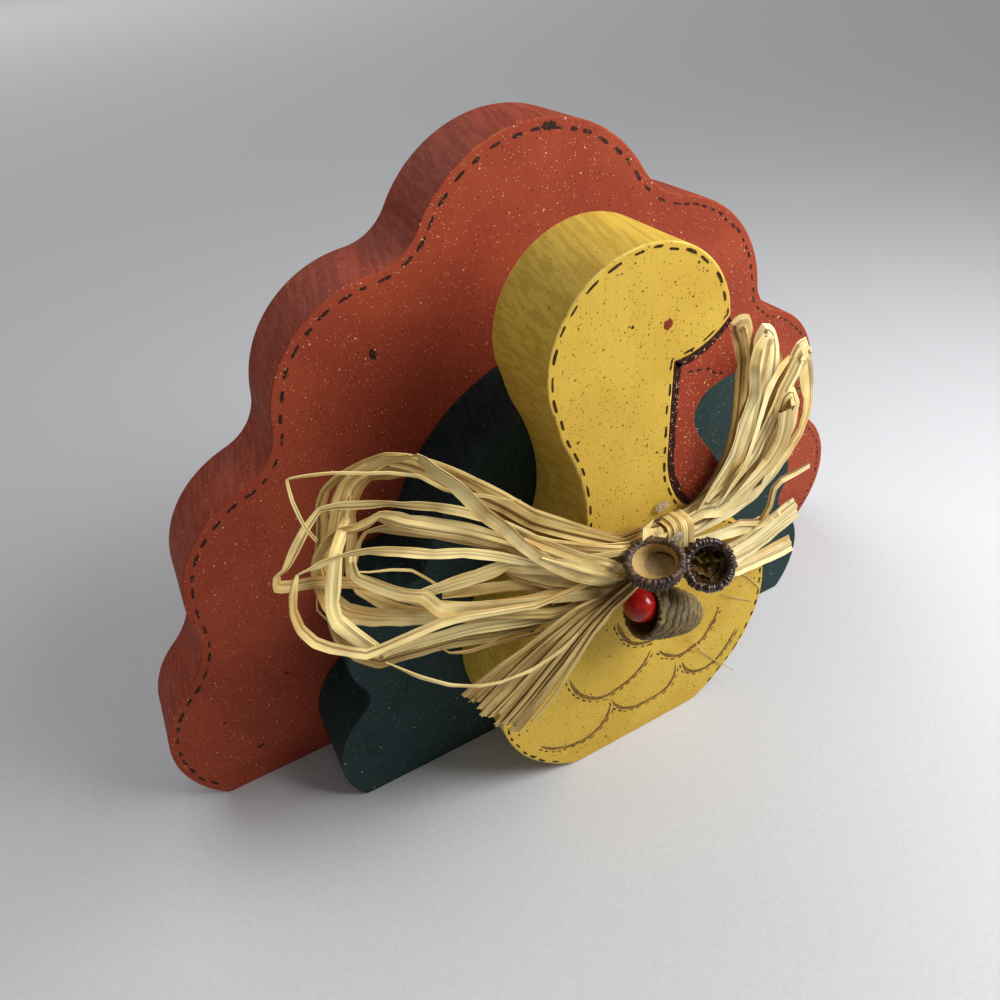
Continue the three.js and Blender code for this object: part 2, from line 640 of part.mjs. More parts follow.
const frontLoop = { ...LEFT_LOOPS[LEFT_LOOPS.length - 1], rise: 0, layer: LEFT_LOOPS.length - 1 };
const loopsFront = liftAt(frontLoop, CUP_CAP.x, CUP_CAP.z) + STRAND_T / 2;
const cup = placedCap(CUP_CAP, loopsFront);
const dark = placedCap(DARK_CAP, bandFront);
const lying = placedCap(LYING_CAP, 0);
addPart('acorn_cap_cup', cup.geometry, CAP_TAN);
addPart('acorn_cap_dark', dark.geometry, CAP_DARK);
addPart('acorn_cap_lying', lying.geometry, CAP_TAUPE);

const berryWay = new THREE.Vector3(...LYING_CAP.mouth).normalize().multiplyScalar(BERRY_OUT);
const berryAt = spot(LYING_CAP.x, lying.lift, LYING_CAP.z + BERRY_RISE).add(berryWay);
const berry = new THREE.SphereGeometry(BERRY_R, BERRY_SIDES, BERRY_RINGS);
addPart('berry', berry.translate(berryAt.x, berryAt.y, berryAt.z), BERRY_RED);

// Hot glue: a flat pad behind the knot and two dabs with a domed top
const padShape = roundRect(new THREE.Shape(), -PAD_W / 2, -PAD_H / 2, PAD_W / 2, PAD_H / 2, PAD_CORNER);
const pad = new THREE.ExtrudeGeometry(padShape, {
  depth: PAD_T,
  bevelEnabled: false,
  curveSegments: BAND_STEPS,
});
pad.rotateX(Math.PI / 2);
pad.translate(KNOT.x, BODY_FRONT, KNOT.z);
addPart('bow_glue_pad', pad, CLEAR_GLUE);

function dab(spec, lift) {
  const profile = [[0, 0]];
  for (let k = 0; k <= DAB_RINGS; k += 1) {
    const t = (k / DAB_RINGS) * Math.PI / 2;
    profile.push([Math.cos(t), Math.sin(t)]);
  }
  const geometry = turned(profile, DAB_SIDES);
  geometry.scale(spec.w, spec.rise, spec.h);
  geometry.rotateZ(Math.PI);
  return geometry.translate(spec.x, BODY_FRONT - lift, spec.z);
}

addPart('glue_dab_neck', dab(NECK_DAB, FIT), CLEAR_GLUE);
addPart('glue_dab_knot', dab(KNOT_DAB, bandFront + FIT), CLEAR_GLUE);

export default group;
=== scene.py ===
# Looks of the turkey figure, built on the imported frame.
# Shapes are worked out in millimetres and placed in metres; +Z is up and the face looks along -Y.
import math

import bmesh
import bpy
import numpy as np
from mathutils import Matrix, Vector, noise


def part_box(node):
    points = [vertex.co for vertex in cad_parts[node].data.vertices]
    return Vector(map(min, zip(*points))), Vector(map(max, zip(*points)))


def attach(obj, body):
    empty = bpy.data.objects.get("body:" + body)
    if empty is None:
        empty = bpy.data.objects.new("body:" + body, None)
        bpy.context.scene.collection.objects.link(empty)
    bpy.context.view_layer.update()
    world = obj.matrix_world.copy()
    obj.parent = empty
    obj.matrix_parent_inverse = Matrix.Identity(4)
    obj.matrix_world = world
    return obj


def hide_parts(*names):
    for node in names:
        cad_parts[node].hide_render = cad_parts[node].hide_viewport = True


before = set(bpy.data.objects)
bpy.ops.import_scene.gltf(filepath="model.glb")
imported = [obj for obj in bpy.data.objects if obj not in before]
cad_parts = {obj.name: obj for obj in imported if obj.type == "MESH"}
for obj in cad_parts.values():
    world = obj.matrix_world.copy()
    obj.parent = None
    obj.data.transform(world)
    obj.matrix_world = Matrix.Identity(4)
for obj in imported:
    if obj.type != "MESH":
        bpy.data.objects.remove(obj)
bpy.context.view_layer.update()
MM = 0.001
BODY = "root"

# Camera of the photograph: angles in degrees, place and lens in millimetres
CAMERA_TURN = -24.52
CAMERA_RISE = 38.34
CAMERA_ROLL = -5.89
CAMERA_AT = (-74.8, -123.8, 175.6)
CAMERA_LENS = 27.04

# Boards: the sanded arris in the frame and here, spacing of points, what counts as a corner and how far
# it is eased, waves of the arris and of the sawn sides, and slant of the rings in the wood
CAD_ARRIS = 0.6
ARRIS_LEAST = 0.2
ARRIS_MOST = 0.45
ARRIS_STEPS = 4
ARRIS_FADE = 0.3
SIDE_RINGS = 6
SAW_WOBBLE = 0.09
POINT_STEP = 0.8
CORNER_EASE = 1.3
EASE_STEPS = 5
LONG_EDGE = 7.0
EDGE_PART = 2.0
CORNER_TURN = math.radians(27)
EASE_MOST = 0.45
ROOM_SHARE = 0.9
FLAT_SLOP = 0.05
ARRIS_WAVE = 0.05
SAW_WAVE = 0.35
SAW_RUN = 0.05
BASE_CLEAR = 1.0
RING_SLANT = math.radians(14)
# Screws and their holes
FIT = 0.3
SCREW_R = 2.0
SCREW_HEAD_H = 2.7
SCREW_TIP = 5.0
HOLE_SIDES = 32

# Thickness of the painted marks, over and under the face
PAINT_PROUD = 0.035
PAINT_SUNK = 0.06
# Ragged and soft edge of a speck of paint, as shares of its radius
SPECK_RAGGED = 0.5
SPECK_SOFT = 0.3

# Raffia: where the bow sits, and how its strands fold
BODY_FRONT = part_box("body_board")[0].y / MM
KNOT = (5.5, 69.2)
RAFFIA_STEP = 0.7
RAFFIA_T = 0.14
RAFFIA_FOLDS = 5
RAFFIA_SLACK = 0.35
CREASE = 0.09
FOLD_ANGLE = math.radians(14)
KINK_GAP = (8.0, 18.0)
KINK = 0.3
KINK_DEEP = 0.25
KINK_LEAN = 0.3
KINK_WIDTH = 0.12
BEND_HALF = 0.08
LEAN_RUN = 20.0
FOLD_STRAY = 0.06


def rgb(code):
    """Linear colour of a six-digit screen colour."""
    parts = [int(code[i:i + 2], 16) / 255 for i in (0, 2, 4)]
    return tuple(c / 12.92 if c <= 0.04045 else ((c + 0.055) / 1.055) ** 2.4 for c in parts) + (1.0,)


def tints(codes):
    return [rgb(code) for code in codes.split()]


# Shader nodes

class Finish:
    """A node material in the making; lengths in its textures are millimetres."""

    def __init__(self, name):
        self.material = bpy.data.materials.new(name)
        self.material.use_nodes = True
        self.tree = self.material.node_tree
        self.shader = self.tree.nodes["Principled BSDF"]
        coords = self.add("TexCoord").outputs["Object"]
        self.place = self.times(coords, (1 / MM, 1 / MM, 1 / MM))

    def add(self, kind, inputs=(), **settings):
        node = self.tree.nodes.new("ShaderNode" + kind)
        for key, value in settings.items():
            setattr(node, key, value)
        for key, value in dict(inputs).items():
            self.put(node.inputs[key], value)
        return node

    def put(self, socket, value):
        if isinstance(value, bpy.types.NodeSocket):
            self.tree.links.new(value, socket)
        else:
            socket.default_value = value

    def times(self, vector, factors):
        return self.add("VectorMath", {0: vector, 1: factors}, operation="MULTIPLY").outputs[0]

    def moved(self, vector, offset):
        return self.add("VectorMath", {0: vector, 1: offset}, operation="ADD").outputs[0]

    def noise(self, scale, detail, vector=None, rough=0.5):
        return self.add("TexNoise", {"Vector": vector or self.place, "Scale": scale, "Detail": detail,
                                     "Roughness": rough}).outputs["Fac"]

    def cells(self, scale, vector):
        node = self.add("TexVoronoi", {"Vector": vector, "Scale": scale})
        return node.outputs["Distance"], node.outputs["Color"]

    def math(self, operation, one, two=0.0):
        return self.add("Math", {0: one, 1: two}, operation=operation).outputs[0]

    def part(self, value, share):
        return self.math("MULTIPLY", value, share)

    def plus(self, one, two):
        return self.math("ADD", one, two)

    def band(self, value, low, high):
        """0 below low, 1 above high and a soft step between; low above high turns it round."""
        node = self.add("MapRange", {"Value": value, "From Min": low, "From Max": high},
                        interpolation_type="SMOOTHSTEP")
        return node.outputs["Result"]

    def mix(self, share, one, two):
        node = self.add("Mix", {0: share, 6: one, 7: two}, data_type="RGBA")
        return node.outputs[2]

    def attribute(self, name):
        return self.add("Attribute", attribute_name=name)

    def specks(self, scale, size, share, seed):
        """Round dots: cells per millimetre, radius in millimetres and share of the cells that hold one."""
        distance, colour = self.cells(scale, self.moved(self.place, (seed, seed * 0.7, -seed)))
        pick = self.add("SeparateColor", {"Color": colour})
        radius = self.part(self.band(pick.outputs["Red"], 1 - share, 1.0), size * scale)
        ragged = self.part(self.noise(2.2, 3.0), size * scale * SPECK_RAGGED)
        reach = self.math("SUBTRACT", self.plus(radius, ragged), size * scale * SPECK_RAGGED / 2)
        inside = self.math("SUBTRACT", reach, distance)
        held = self.math("GREATER_THAN", pick.outputs["Red"], 1 - share)
        return self.part(self.band(inside, 0.0, size * scale * SPECK_SOFT), held)

    def bump(self, height, depth, strength=1.0):
        node = self.add("Bump", {"Height": height, "Distance": depth * MM, "Strength": strength})
        self.put(self.shader.inputs["Normal"], node.outputs["Normal"])

    def done(self, colour, roughness, **uniform):
        self.put(self.shader.inputs["Base Color"], colour)
        self.put(self.shader.inputs["Roughness"], roughness)
        for key, value in uniform.items():
            self.put(self.shader.inputs[key.replace("_", " ")], value)
        return self.material


def painted_wood(name, codes, speck_layers, wear):
    """Brushed paint on a sawn board: grain on the face, saw lines on the edges, specks and sanded arrises.

    codes are the paint, its shade, the sides and the bare wood; a speck layer has cells per mm, radius in
    mm, share of the cells, seed and colour; wear is where the noise on the arris starts and ends to show."""
    paint, shade, side, bare = tints(codes)
    f = Finish(name)
    normal = f.add("NewGeometry").outputs["Normal"]
    facing = f.math("ABSOLUTE", f.add("SeparateXYZ", {0: normal}).outputs["Y"])
    edge = f.band(facing, 0.75, 0.35)
    grain = f.noise(1.0, 4.0, f.times(f.place, (2.6, 1.0, 0.09)), 0.6)
    slant = f.add("VectorRotate", {"Vector": f.place, "Angle": RING_SLANT}, rotation_type="Z_AXIS")
    saw = f.noise(1.0, 3.0, f.times(slant.outputs[0], (0.8, 0.04, 0.8)), 0.6)
    cloud = f.noise(0.05, 4.0)
    brushed = f.noise(0.5, 5.0)
    colour = f.mix(f.part(f.band(cloud, 0.6, 0.4), 0.45), paint, shade)
    colour = f.mix(f.part(f.band(grain, 0.52, 0.72), 0.22), colour, shade)
    sawn = f.plus(f.part(f.band(saw, 0.58, 0.42), 0.42), 0.25)
    edge_colour = f.mix(sawn, paint, side)
    colour = f.mix(f.part(edge, 0.9), colour, edge_colour)
    bare_edge = f.math("SUBTRACT", 1.0, f.part(edge, 0.5))
    for *layer, tint in speck_layers:
        colour = f.mix(f.part(f.specks(*layer), bare_edge), colour, tint)
    rim = f.attribute("arris").outputs["Fac"]
    rubbed = f.band(f.plus(f.noise(0.2, 4.0), f.part(brushed, 0.35)), *wear)
    colour = f.mix(f.part(rim, f.part(rubbed, 0.8)), colour, bare)
    lines = f.part(f.math("SUBTRACT", saw, 0.5), f.part(edge, 0.7))
    height = f.plus(f.plus(f.part(grain, 0.3), f.part(brushed, 0.25)), lines)
    f.bump(height, 0.14, 0.8)
    rough = f.plus(f.part(brushed, 0.25), 0.5)
    return f.done(colour, rough, Specular_IOR_Level=0.1)


def stroke_paint(name, codes, speck_layers=()):
    """Brush strokes: paint that thins out in places, under the specks that were spattered last."""
    thick, thin = tints(codes)
    f = Finish(name)
    streak = f.noise(1.1, 4.0)
    colour = f.mix(f.band(streak, 0.45, 0.75), thick, thin)
    for *layer, tint in speck_layers:
        colour = f.mix(f.specks(*layer), colour, tint)
    f.bump(streak, 0.05)
    return f.done(colour, f.plus(f.part(streak, 0.3), 0.5), Specular_IOR_Level=0.12)


def straw(name, codes):
    """Dry straw, with fibres and veins along it: pale fibres carry a painted sheen, dark veins painted
    crease shade;
    the attribute holds along, across and the strand's own number.
    """
    low, high, fibre_sheen, vein_shade = tints(codes)
    f = Finish(name)
    lie = f.attribute("strand").outputs["Vector"]
    fibre = f.noise(1.0, 4.0, f.times(lie, (0.04, 5.0, 7.0)), 0.65)
    vein = f.noise(1.0, 2.0, f.times(lie, (0.015, 1.9, 5.0)), 0.5)
    patch = f.noise(1.0, 3.0, f.times(lie, (0.05, 0.15, 3.1)), 0.55)
    colour = f.mix(f.band(patch, 0.34, 0.62), low, high)
    # Pale fibre streaks: pale fibres and a painted sheen
    colour = f.mix(f.part(f.band(fibre, 0.5, 0.72), 0.6), colour, fibre_sheen)
    # Dark streaks along the strip: veins and painted crease shade
    colour = f.mix(f.part(f.band(vein, 0.48, 0.3), 0.85), colour, vein_shade)
    f.bump(f.plus(fibre, vein), 0.06, 0.8)
    return f.done(colour, f.plus(f.part(fibre, 0.25), 0.4), Specular_IOR_Level=0.35)


def shell(name, codes, gloss):
    """Acorn cap: one attribute tells scale tops from shaded gaps, the other the inner wall and its scar."""
    light, dark, gap, wall, scar = tints(codes)
    f = Finish(name)
    top = f.attribute("scale").outputs["Fac"]
    bowl = f.attribute("bowl").outputs["Fac"]
    mottle = f.noise(0.8, 5.0)
    fine = f.noise(3.5, 4.0)
    outer = f.mix(f.band(mottle, 0.36, 0.66), dark, light)
    # Gaps between the scales turn near black: painted shade in the recesses
    outer = f.mix(f.band(top, 0.5, 0.12), outer, gap)
    outer = f.mix(f.part(f.band(fine, 0.6, 0.75), 0.4), outer, light)
    # Pits in the scar take the dark colour of the gaps: painted shade
    pit = f.mix(f.part(f.band(fine, 0.6, 0.35), 0.28), scar, gap)
    wall = f.mix(f.part(f.band(mottle, 0.5, 0.66), 0.5), wall, scar)
    inner = f.mix(f.band(f.plus(bowl, f.part(mottle, 0.2)), 0.75, 0.92), wall, pit)
    colour = f.mix(f.band(bowl, 0.2, 0.4), outer, inner)
    f.bump(f.plus(mottle, f.part(fine, 0.5)), 0.2, 0.8)
    return f.done(colour, f.plus(f.part(fine, 0.3), gloss), Specular_IOR_Level=0.5)


def berry_skin(name):
    f = Finish(name)
    blush = f.noise(0.3, 3.0)
    pore = f.noise(1.2, 3.0)
    colour = f.mix(f.band(blush, 0.35, 0.7), rgb("96100c"), rgb("b91a12"))
    f.bump(pore, 0.03)
    return f.done(colour, f.plus(f.part(pore, 0.15), 0.14), Specular_IOR_Level=0.5)


def clear_glue(name):
    f = Finish(name)
    haze = f.noise(0.9, 4.0)
    f.bump(haze, 0.04)
    colour = f.mix(haze, rgb("efe7cd"), rgb("fbf8ee"))
    rough = f.plus(f.part(haze, 0.12), 0.04)
    return f.done(colour, rough, Transmission_Weight=0.85, IOR=1.48)


def zinc(name):
    f = Finish(name)
    brushed = f.noise(1.0, 4.0, f.times(f.place, (3.0, 0.4, 3.0)))
    f.bump(brushed, 0.03)
    colour = f.mix(brushed, rgb("8d8c86"), rgb("c9c8c0"))
    return f.done(colour, f.plus(f.part(brushed, 0.3), 0.25), Metallic=1.0)


CREAM = rgb("dcb27c")
OCHRE_SPECK = rgb("c8944a")
SOOT_SPECK = rgb("55190f")
BROWN_SPECK = rgb("7a5a20")
OLIVE_SPECK = rgb("66571d")
DARK_SPECK = rgb("463c16")
SAGE_SPECK = rgb("7d8868")
PALE_SAGE = rgb("9aa486")
RED_SPECKS = (
    (2.3, 0.12, 0.58, 3.0, CREAM), (1.2, 0.2, 0.45, 31.0, SOOT_SPECK), (0.9, 0.24, 0.3, 11.0, CREAM),
    (0.25, 0.5, 0.16, 23.0, OCHRE_SPECK), (0.25, 0.7, 0.16, 37.0, SOOT_SPECK))
GREEN_SPECKS = ((1.9, 0.15, 0.6, 5.0, SAGE_SPECK), (0.65, 0.28, 0.3, 17.0, PALE_SAGE))
YELLOW_SPECKS = (
    (1.9, 0.17, 0.72, 7.0, BROWN_SPECK), (1.2, 0.24, 0.45, 19.0, OLIVE_SPECK),
    (0.45, 0.42, 0.3, 13.0, DARK_SPECK), (0.16, 0.7, 0.15, 29.0, OLIVE_SPECK))
BEAK_SPECKS = (
    (2.2, 0.16, 0.75, 43.0, CREAM), (1.3, 0.2, 0.45, 47.0, SOOT_SPECK), (1.1, 0.24, 0.35, 53.0, CREAM),
    (0.3, 0.6, 0.15, 59.0, OCHRE_SPECK))
RED = painted_wood("red_paint", "a1472f 8a3526 6e2013 b8663f", RED_SPECKS, (0.74, 0.86))
BEAK_RED = painted_wood("beak_paint", "9c3f2a 85301f 6d261a b4613f", BEAK_SPECKS, (0.6, 0.9))
GREEN = painted_wood("green_paint", "2a3d3d 1f2f2f 152425 3c4841", GREEN_SPECKS, (0.74, 0.9))
YELLOW = painted_wood("yellow_paint", "d8b44a c49a36 a88228 ead27e", YELLOW_SPECKS, (0.54, 0.74))
DARK_STROKE = stroke_paint("dark_stroke", "33201a 5f3526", RED_SPECKS)
BAND_STROKE = stroke_paint("band_stroke", "2a1510 55251a", BEAK_SPECKS)
FEATHER_STROKE = stroke_paint("feather_stroke", "74552c a07d3b")
FINE_STROKE = stroke_paint("fine_stroke", "33220f 573d1c")
EYE_STROKE = stroke_paint("eye_stroke", "7a2c1c 8c3a24")
STRAW = straw("straw", "bf9850 ead28c fbeeb6 7a5424")
# A lighter copy of the straw for the right bow and strands near the key lamp: painted light
LIT_STRAW = straw("lit_straw", "d8b468 f6e4a6 fff6cc 7a5424")
# A darker copy of the straw for back, low and fanned strands: painted shade
SHADED_STRAW = straw("shaded_straw", "967238 cdb06a e6cf94 7a5424")
CUP_SHELL = shell("cup_shell", "70553c 35241a 150d09 b99a62 97825a", 0.4)
DARK_SHELL = shell("dark_shell", "55382a 20120c 0c0605 2f2010 6b5522", 0.06)
TAUPE_SHELL = shell("taupe_shell", "86703f 64522b 372a1a 6b5636 4a3a26", 0.5)
BERRY = berry_skin("berry_skin")
GLUE = clear_glue("clear_glue_melt")
ZINC = zinc("zinc")


# Mesh helpers

def add_object(name, mesh, material):
    mesh.materials.append(material)
    made = bpy.data.objects.new(name, mesh)
    bpy.context.scene.collection.objects.link(made)
    return made


def dress(name, mesh, material, nodes):
    """A piece that rides on the part and stands for the given nodes."""
    piece = add_object(name, mesh, material)
    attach(piece, BODY)
    if nodes:
        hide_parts(*nodes)
    return piece


def add_piece(name, points, faces, material, nodes=(), smooth=True):
    """A new piece from points in millimetres."""
    mesh = bpy.data.meshes.new(name)
    mesh.from_pydata([tuple(p) for p in np.asarray(points, float) * MM], [], faces)
    mesh.polygons.foreach_set("use_smooth", [smooth] * len(mesh.polygons))
    mesh.update()
    return dress(name, mesh, material, nodes)


def finish_node(node, material):
    """A node of the frame that stays as it is gets a material."""
    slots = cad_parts[node].data.materials
    slots.clear()
    slots.append(material)


def store(piece, name, kind, values):
    attribute = piece.data.attributes.new(name, kind, "POINT")
    key = "vector" if kind == "FLOAT_VECTOR" else "value"
    attribute.data.foreach_set(key, np.asarray(values, float).ravel())


def box_mm(node):
    return [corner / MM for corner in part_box(node)]


def unit(vectors):
    return vectors / np.linalg.norm(vectors, axis=1)[:, None]


def heading(line):
    """Unit direction of a line at each of its points."""
    return unit(np.gradient(line, axis=0))


def distance_along(line):
    return np.concatenate([[0], np.cumsum(np.linalg.norm(np.diff(line, axis=0), axis=1))])


def ease(share):
    return share ** 2 * (3 - 2 * share)


def hermite(points, tangents_out, tangents_in, spacing, closed):
    """Points along cubic pieces through the given points, about a spacing apart."""
    count = len(points)
    found = []
    for i in range(count if closed else count - 1):
        j = (i + 1) % count
        p, q = points[i], points[j]
        length = np.linalg.norm(q - p)
        parts = max(1, round(length / spacing))
        for t in np.arange(parts) / parts:
            found.append((2 * t ** 3 - 3 * t ** 2 + 1) * p + (3 * t ** 2 - 2 * t ** 3) * q
                         + (t ** 3 - 2 * t ** 2 + t) * length * tangents_out[i]
                         + (t ** 3 - t ** 2) * length * tangents_in[j])
    if not closed:
        found.append(points[-1])
    return np.array(found)


def through(points, spacing, closed=False, corner=math.pi, slack=1.0):
    """A line through points that keeps turns sharper than corner; less slack makes it straighter."""
    p = np.asarray(points, float)
    step = np.roll(p, -1, 0) - p
    length = np.linalg.norm(step, axis=1)
    way = step / np.maximum(length, 1e-9)[:, None]
    before, after = np.roll(way, 1, 0), way
    d0, d1 = np.roll(length, 1)[:, None], length[:, None]
    middle = (before * d1 + after * d0) / (d0 + d1)
    turn = np.arccos(np.clip((before * after).sum(1), -1, 1))
    sharp = turn > corner
    if not closed:
        sharp[0] = sharp[-1] = True
    leave = np.where(sharp[:, None], 2 * after - np.roll(middle, -1, 0), middle)
    reach = np.where(sharp[:, None], 2 * before - np.roll(middle, 1, 0), middle)
    both = sharp & np.roll(sharp, -1)
    leave[both] = after[both]
    reach[np.roll(both, 1)] = before[np.roll(both, 1)]
    return hermite(p, leave * slack, reach * slack, spacing, closed)


# Boards

def front_outline(node, arris):
    """Outline of a board's front in the frame, as a loop of x and z in millimetres."""
    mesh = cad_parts[node].data
    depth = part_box(node)[0].y / MM + arris + FLAT_SLOP
    after = {}
    for polygon in mesh.polygons:
        corners = [mesh.vertices[i].co / MM for i in polygon.vertices]
        if max(c.y for c in corners) > depth:
            continue
        keys = [(round(c.x, 3), round(c.z, 3)) for c in corners]
        for a, b in zip(keys, keys[1:] + keys[:1]):
            if after.get(b) and a in after[b]:
                after[b].remove(a)
            else:
                after.setdefault(a, []).append(b)
    loops = []
    while any(after.values()):
        start = next(k for k, v in after.items() if v)
        loop, here = [start], after[start].pop()
        while here != start:
            loop.append(here)
            here = after[here].pop()
        loops.append(np.array(loop))
    return max(loops, key=lambda loop: abs(loop_area(loop)))


def eased(loop):
    """A loop with its sharp outer corners rounded off a little."""
    done = []
    for here, before, after in zip(loop, np.roll(loop, 1, 0), np.roll(loop, -1, 0)):
        back, on = before - here, after - here
        far, near = np.linalg.norm(back), np.linalg.norm(on)
        turn = math.atan2(-back[0] * on[1] + back[1] * on[0], -(back @ on))
        if turn < CORNER_TURN:
            done.append(here)
            continue
        start = here + back * min(CORNER_EASE / far, EASE_MOST)
        end = here + on * min(CORNER_EASE / near, EASE_MOST)
        for t in np.linspace(0, 1, EASE_STEPS):
            done.append((1 - t) ** 2 * start + 2 * t * (1 - t) * here + t ** 2 * end)
    return np.array(done)


def divided(loop):
    """A loop whose long edges get points in between, so that they stay straight."""
    done = []
    for here, after in zip(loop, np.roll(loop, -1, 0)):
        length = np.linalg.norm(after - here)
        parts = math.ceil(length / EDGE_PART) if length > LONG_EDGE else 1
        done += [here + (after - here) * k / parts for k in range(parts)]
    return np.array(done)


def loop_area(loop):
    x, z = loop.T
    return float((x * np.roll(z, -1) - z * np.roll(x, -1)).sum() / 2)


def inward(loop):
    """Unit normals into an anticlockwise loop, and how far each point may move in near a sharp corner."""
    forward = unit(np.roll(loop, -1, 0) - loop)
    back = np.roll(forward, 1, 0)
    mean = unit(forward + back)
    normal = np.stack([-mean[:, 1], mean[:, 0]], 1)
    turn = np.arctan2(back[:, 0] * forward[:, 1] - back[:, 1] * forward[:, 0], (back * forward).sum(1))
    room = np.full(len(loop), 1e3)
    for i in np.flatnonzero(turn > CORNER_TURN):
        away = np.linalg.norm(loop - loop[i], axis=1)
        room = np.minimum(room, away * ROOM_SHARE / math.tan(turn[i] / 2))
    return normal, room


def moved_in(loop, by):
    normal, room = inward(loop)
    return loop + normal * np.minimum(by, room)[:, None]


def hole_profile(screw, front, back):
    """Radius and depth of a screw's hole where it runs through a board, from the back face forward."""
    low, high = box_mm(screw)
    head, tip = high.y, low.y - FIT
    wide, slim = (high.x - low.x) / 2 + FIT, SCREW_R + FIT
    marks = [(back + 1, wide), (head - FIT, wide), (head - SCREW_HEAD_H, slim), (low.y + SCREW_TIP, slim),
             (tip, FIT)]
    depths, radii = np.array(marks[::-1]).T
    inside = sorted({y for y in depths if front < y < back} | {back, max(front, tip)}, reverse=True)
    middle = ((low.x + high.x) / 2, (low.z + high.z) / 2)
    return middle, [(y, float(np.interp(y, depths, radii))) for y in inside], tip > front


def board_rings(loop, front, back, seed):
    """Rings of a board from the front cap to the back cap: points and how much each lies on the arris."""
    normal, room = inward(loop)
    soft = np.array([noise.noise(Vector((x * ARRIS_WAVE, seed, z * ARRIS_WAVE))) for x, z in loop])
    arris = ARRIS_LEAST + (ARRIS_MOST - ARRIS_LEAST) * np.clip(0.5 + soft, 0, 1)
    turns = [math.pi / 2 * k / ARRIS_STEPS for k in range(ARRIS_STEPS + 1)]
    cap = [(arris + ARRIS_FADE, 0 * arris, 0.0)]
    cap += [(arris * (1 - math.sin(t)), arris * (1 - math.cos(t)), math.sin(2 * t) ** 3) for t in turns]
    cap += [(0 * arris, arris + ARRIS_FADE, 0.0)]
    rings = []
    for way, face in ((1, front), (-1, back)):
        side = []
        for step_in, deep, wear in cap:
            flat = loop + normal * np.minimum(step_in, room)[:, None]
            side.append((np.column_stack([flat[:, 0], face + way * deep, flat[:, 1]]), wear))
        rings.append(side)
    first, last = rings[0][-1][0], rings[1][-1][0]
    middle = []
    for k in range(1, SIDE_RINGS):
        ring = first + (last - first) * k / SIDE_RINGS
        places = ring * (SAW_WAVE, SAW_RUN, SAW_WAVE)
        wobble = np.array([noise.noise(Vector(p)) for p in places]) * SAW_WOBBLE
        wobble = np.where(ring[:, 2] < BASE_CLEAR, 0, wobble)
        ring[:, 0] += normal[:, 0] * wobble
        ring[:, 2] += normal[:, 1] * wobble
        middle.append((ring, 0.0))
    return rings[0] + middle + rings[1][::-1]


def add_board(name, node, material, arris, screws, seed):
    """A sawn board with smooth outline, sanded arrises and screw holes, in place of a faceted one."""
    low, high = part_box(node)
    front, back = low.y / MM, high.y / MM
    loop = front_outline(node, arris)
    loop = loop if loop_area(loop) > 0 else loop[::-1]
    loop = through(divided(eased(loop)), POINT_STEP, True, CORNER_TURN)
    rings = board_rings(loop, front, back, seed)
    bm = bmesh.new()
    wear = bm.verts.layers.float.new("arris")

    def ring_verts(points, worn):
        made = []
        for point in points:
            vert = bm.verts.new(Vector(point) * MM)
            vert[wear] = worn
            made.append(vert)
        return made

    def wall(one, two):
        for i in range(len(one)):
            j = (i + 1) % len(one)
            bm.faces.new((one[i], one[j], two[j], two[i])).smooth = True

    def rim(verts):
        return [bm.edges.get((verts[i], verts[(i + 1) % len(verts)])) for i in range(len(verts))]

    made = [ring_verts(points, worn) for points, worn in rings]
    for one, two in zip(made, made[1:]):
        wall(one, two)
    caps = {front: rim(made[0]), back: rim(made[-1])}
    for screw in screws:
        (cx, cz), profile, blind = hole_profile(screw, front, back)
        turns = [2 * math.pi * k / HOLE_SIDES for k in range(HOLE_SIDES)]
        hole = []
        for y, r in profile:
            hole.append(ring_verts([(cx + r * math.cos(t), y, cz + r * math.sin(t)) for t in turns], 0.0))
        for one, two in zip(hole, hole[1:]):
            wall(one, two)
        caps[back] += rim(hole[0])
        if blind:
            bm.faces.new(hole[-1])
        else:
            caps[front] += rim(hole[-1])
    for edges in caps.values():
        bmesh.ops.triangle_fill(bm, edges=edges, use_beauty=True)
    bmesh.ops.recalc_face_normals(bm, faces=bm.faces)
    mesh = bpy.data.meshes.new(name)
    bm.to_mesh(mesh)
    bm.free()
    dress(name, mesh, material, (node,))
    return loop, front


TAIL_SCREWS = ("tail_screw_1", "tail_screw_2")
BODY_SCREWS = ("body_screw_1", "body_screw_2")
tail_loop, tail_front = add_board("tail_fan", "tail_fan_board", RED, CAD_ARRIS, TAIL_SCREWS, 1)
add_board("wings", "wing_board", GREEN, CAD_ARRIS, TAIL_SCREWS + BODY_SCREWS, 2)
body_loop, body_front = add_board("body", "body_board", YELLOW, CAD_ARRIS, BODY_SCREWS, 3)
beak_loop, beak_front = add_board("beak", "beak_wattle", BEAK_RED, 0, (), 4)
for screw in TAIL_SCREWS + BODY_SCREWS:
    finish_node(screw, ZINC)


# Painted marks

# How uneven the brush is: width of strokes and blots, length, gap, width and place of dashes
STROKE_EDGE = (0.75, 1.25)
BLOT_EDGE = (0.7, 1.2)
DASH_LENGTHS = (0.6, 1.25)
DASH_GAPS = (0.6, 1.3)
DASH_WIDTHS = (0.75, 1.2)
DASH_STRAY = 0.12
DASH_POINTS = 6
DASH_TAPER = 0.6
STROKE_SWELL = 2.2
BLOT_LEAST = 0.02
BLOT_CORNERS = 9


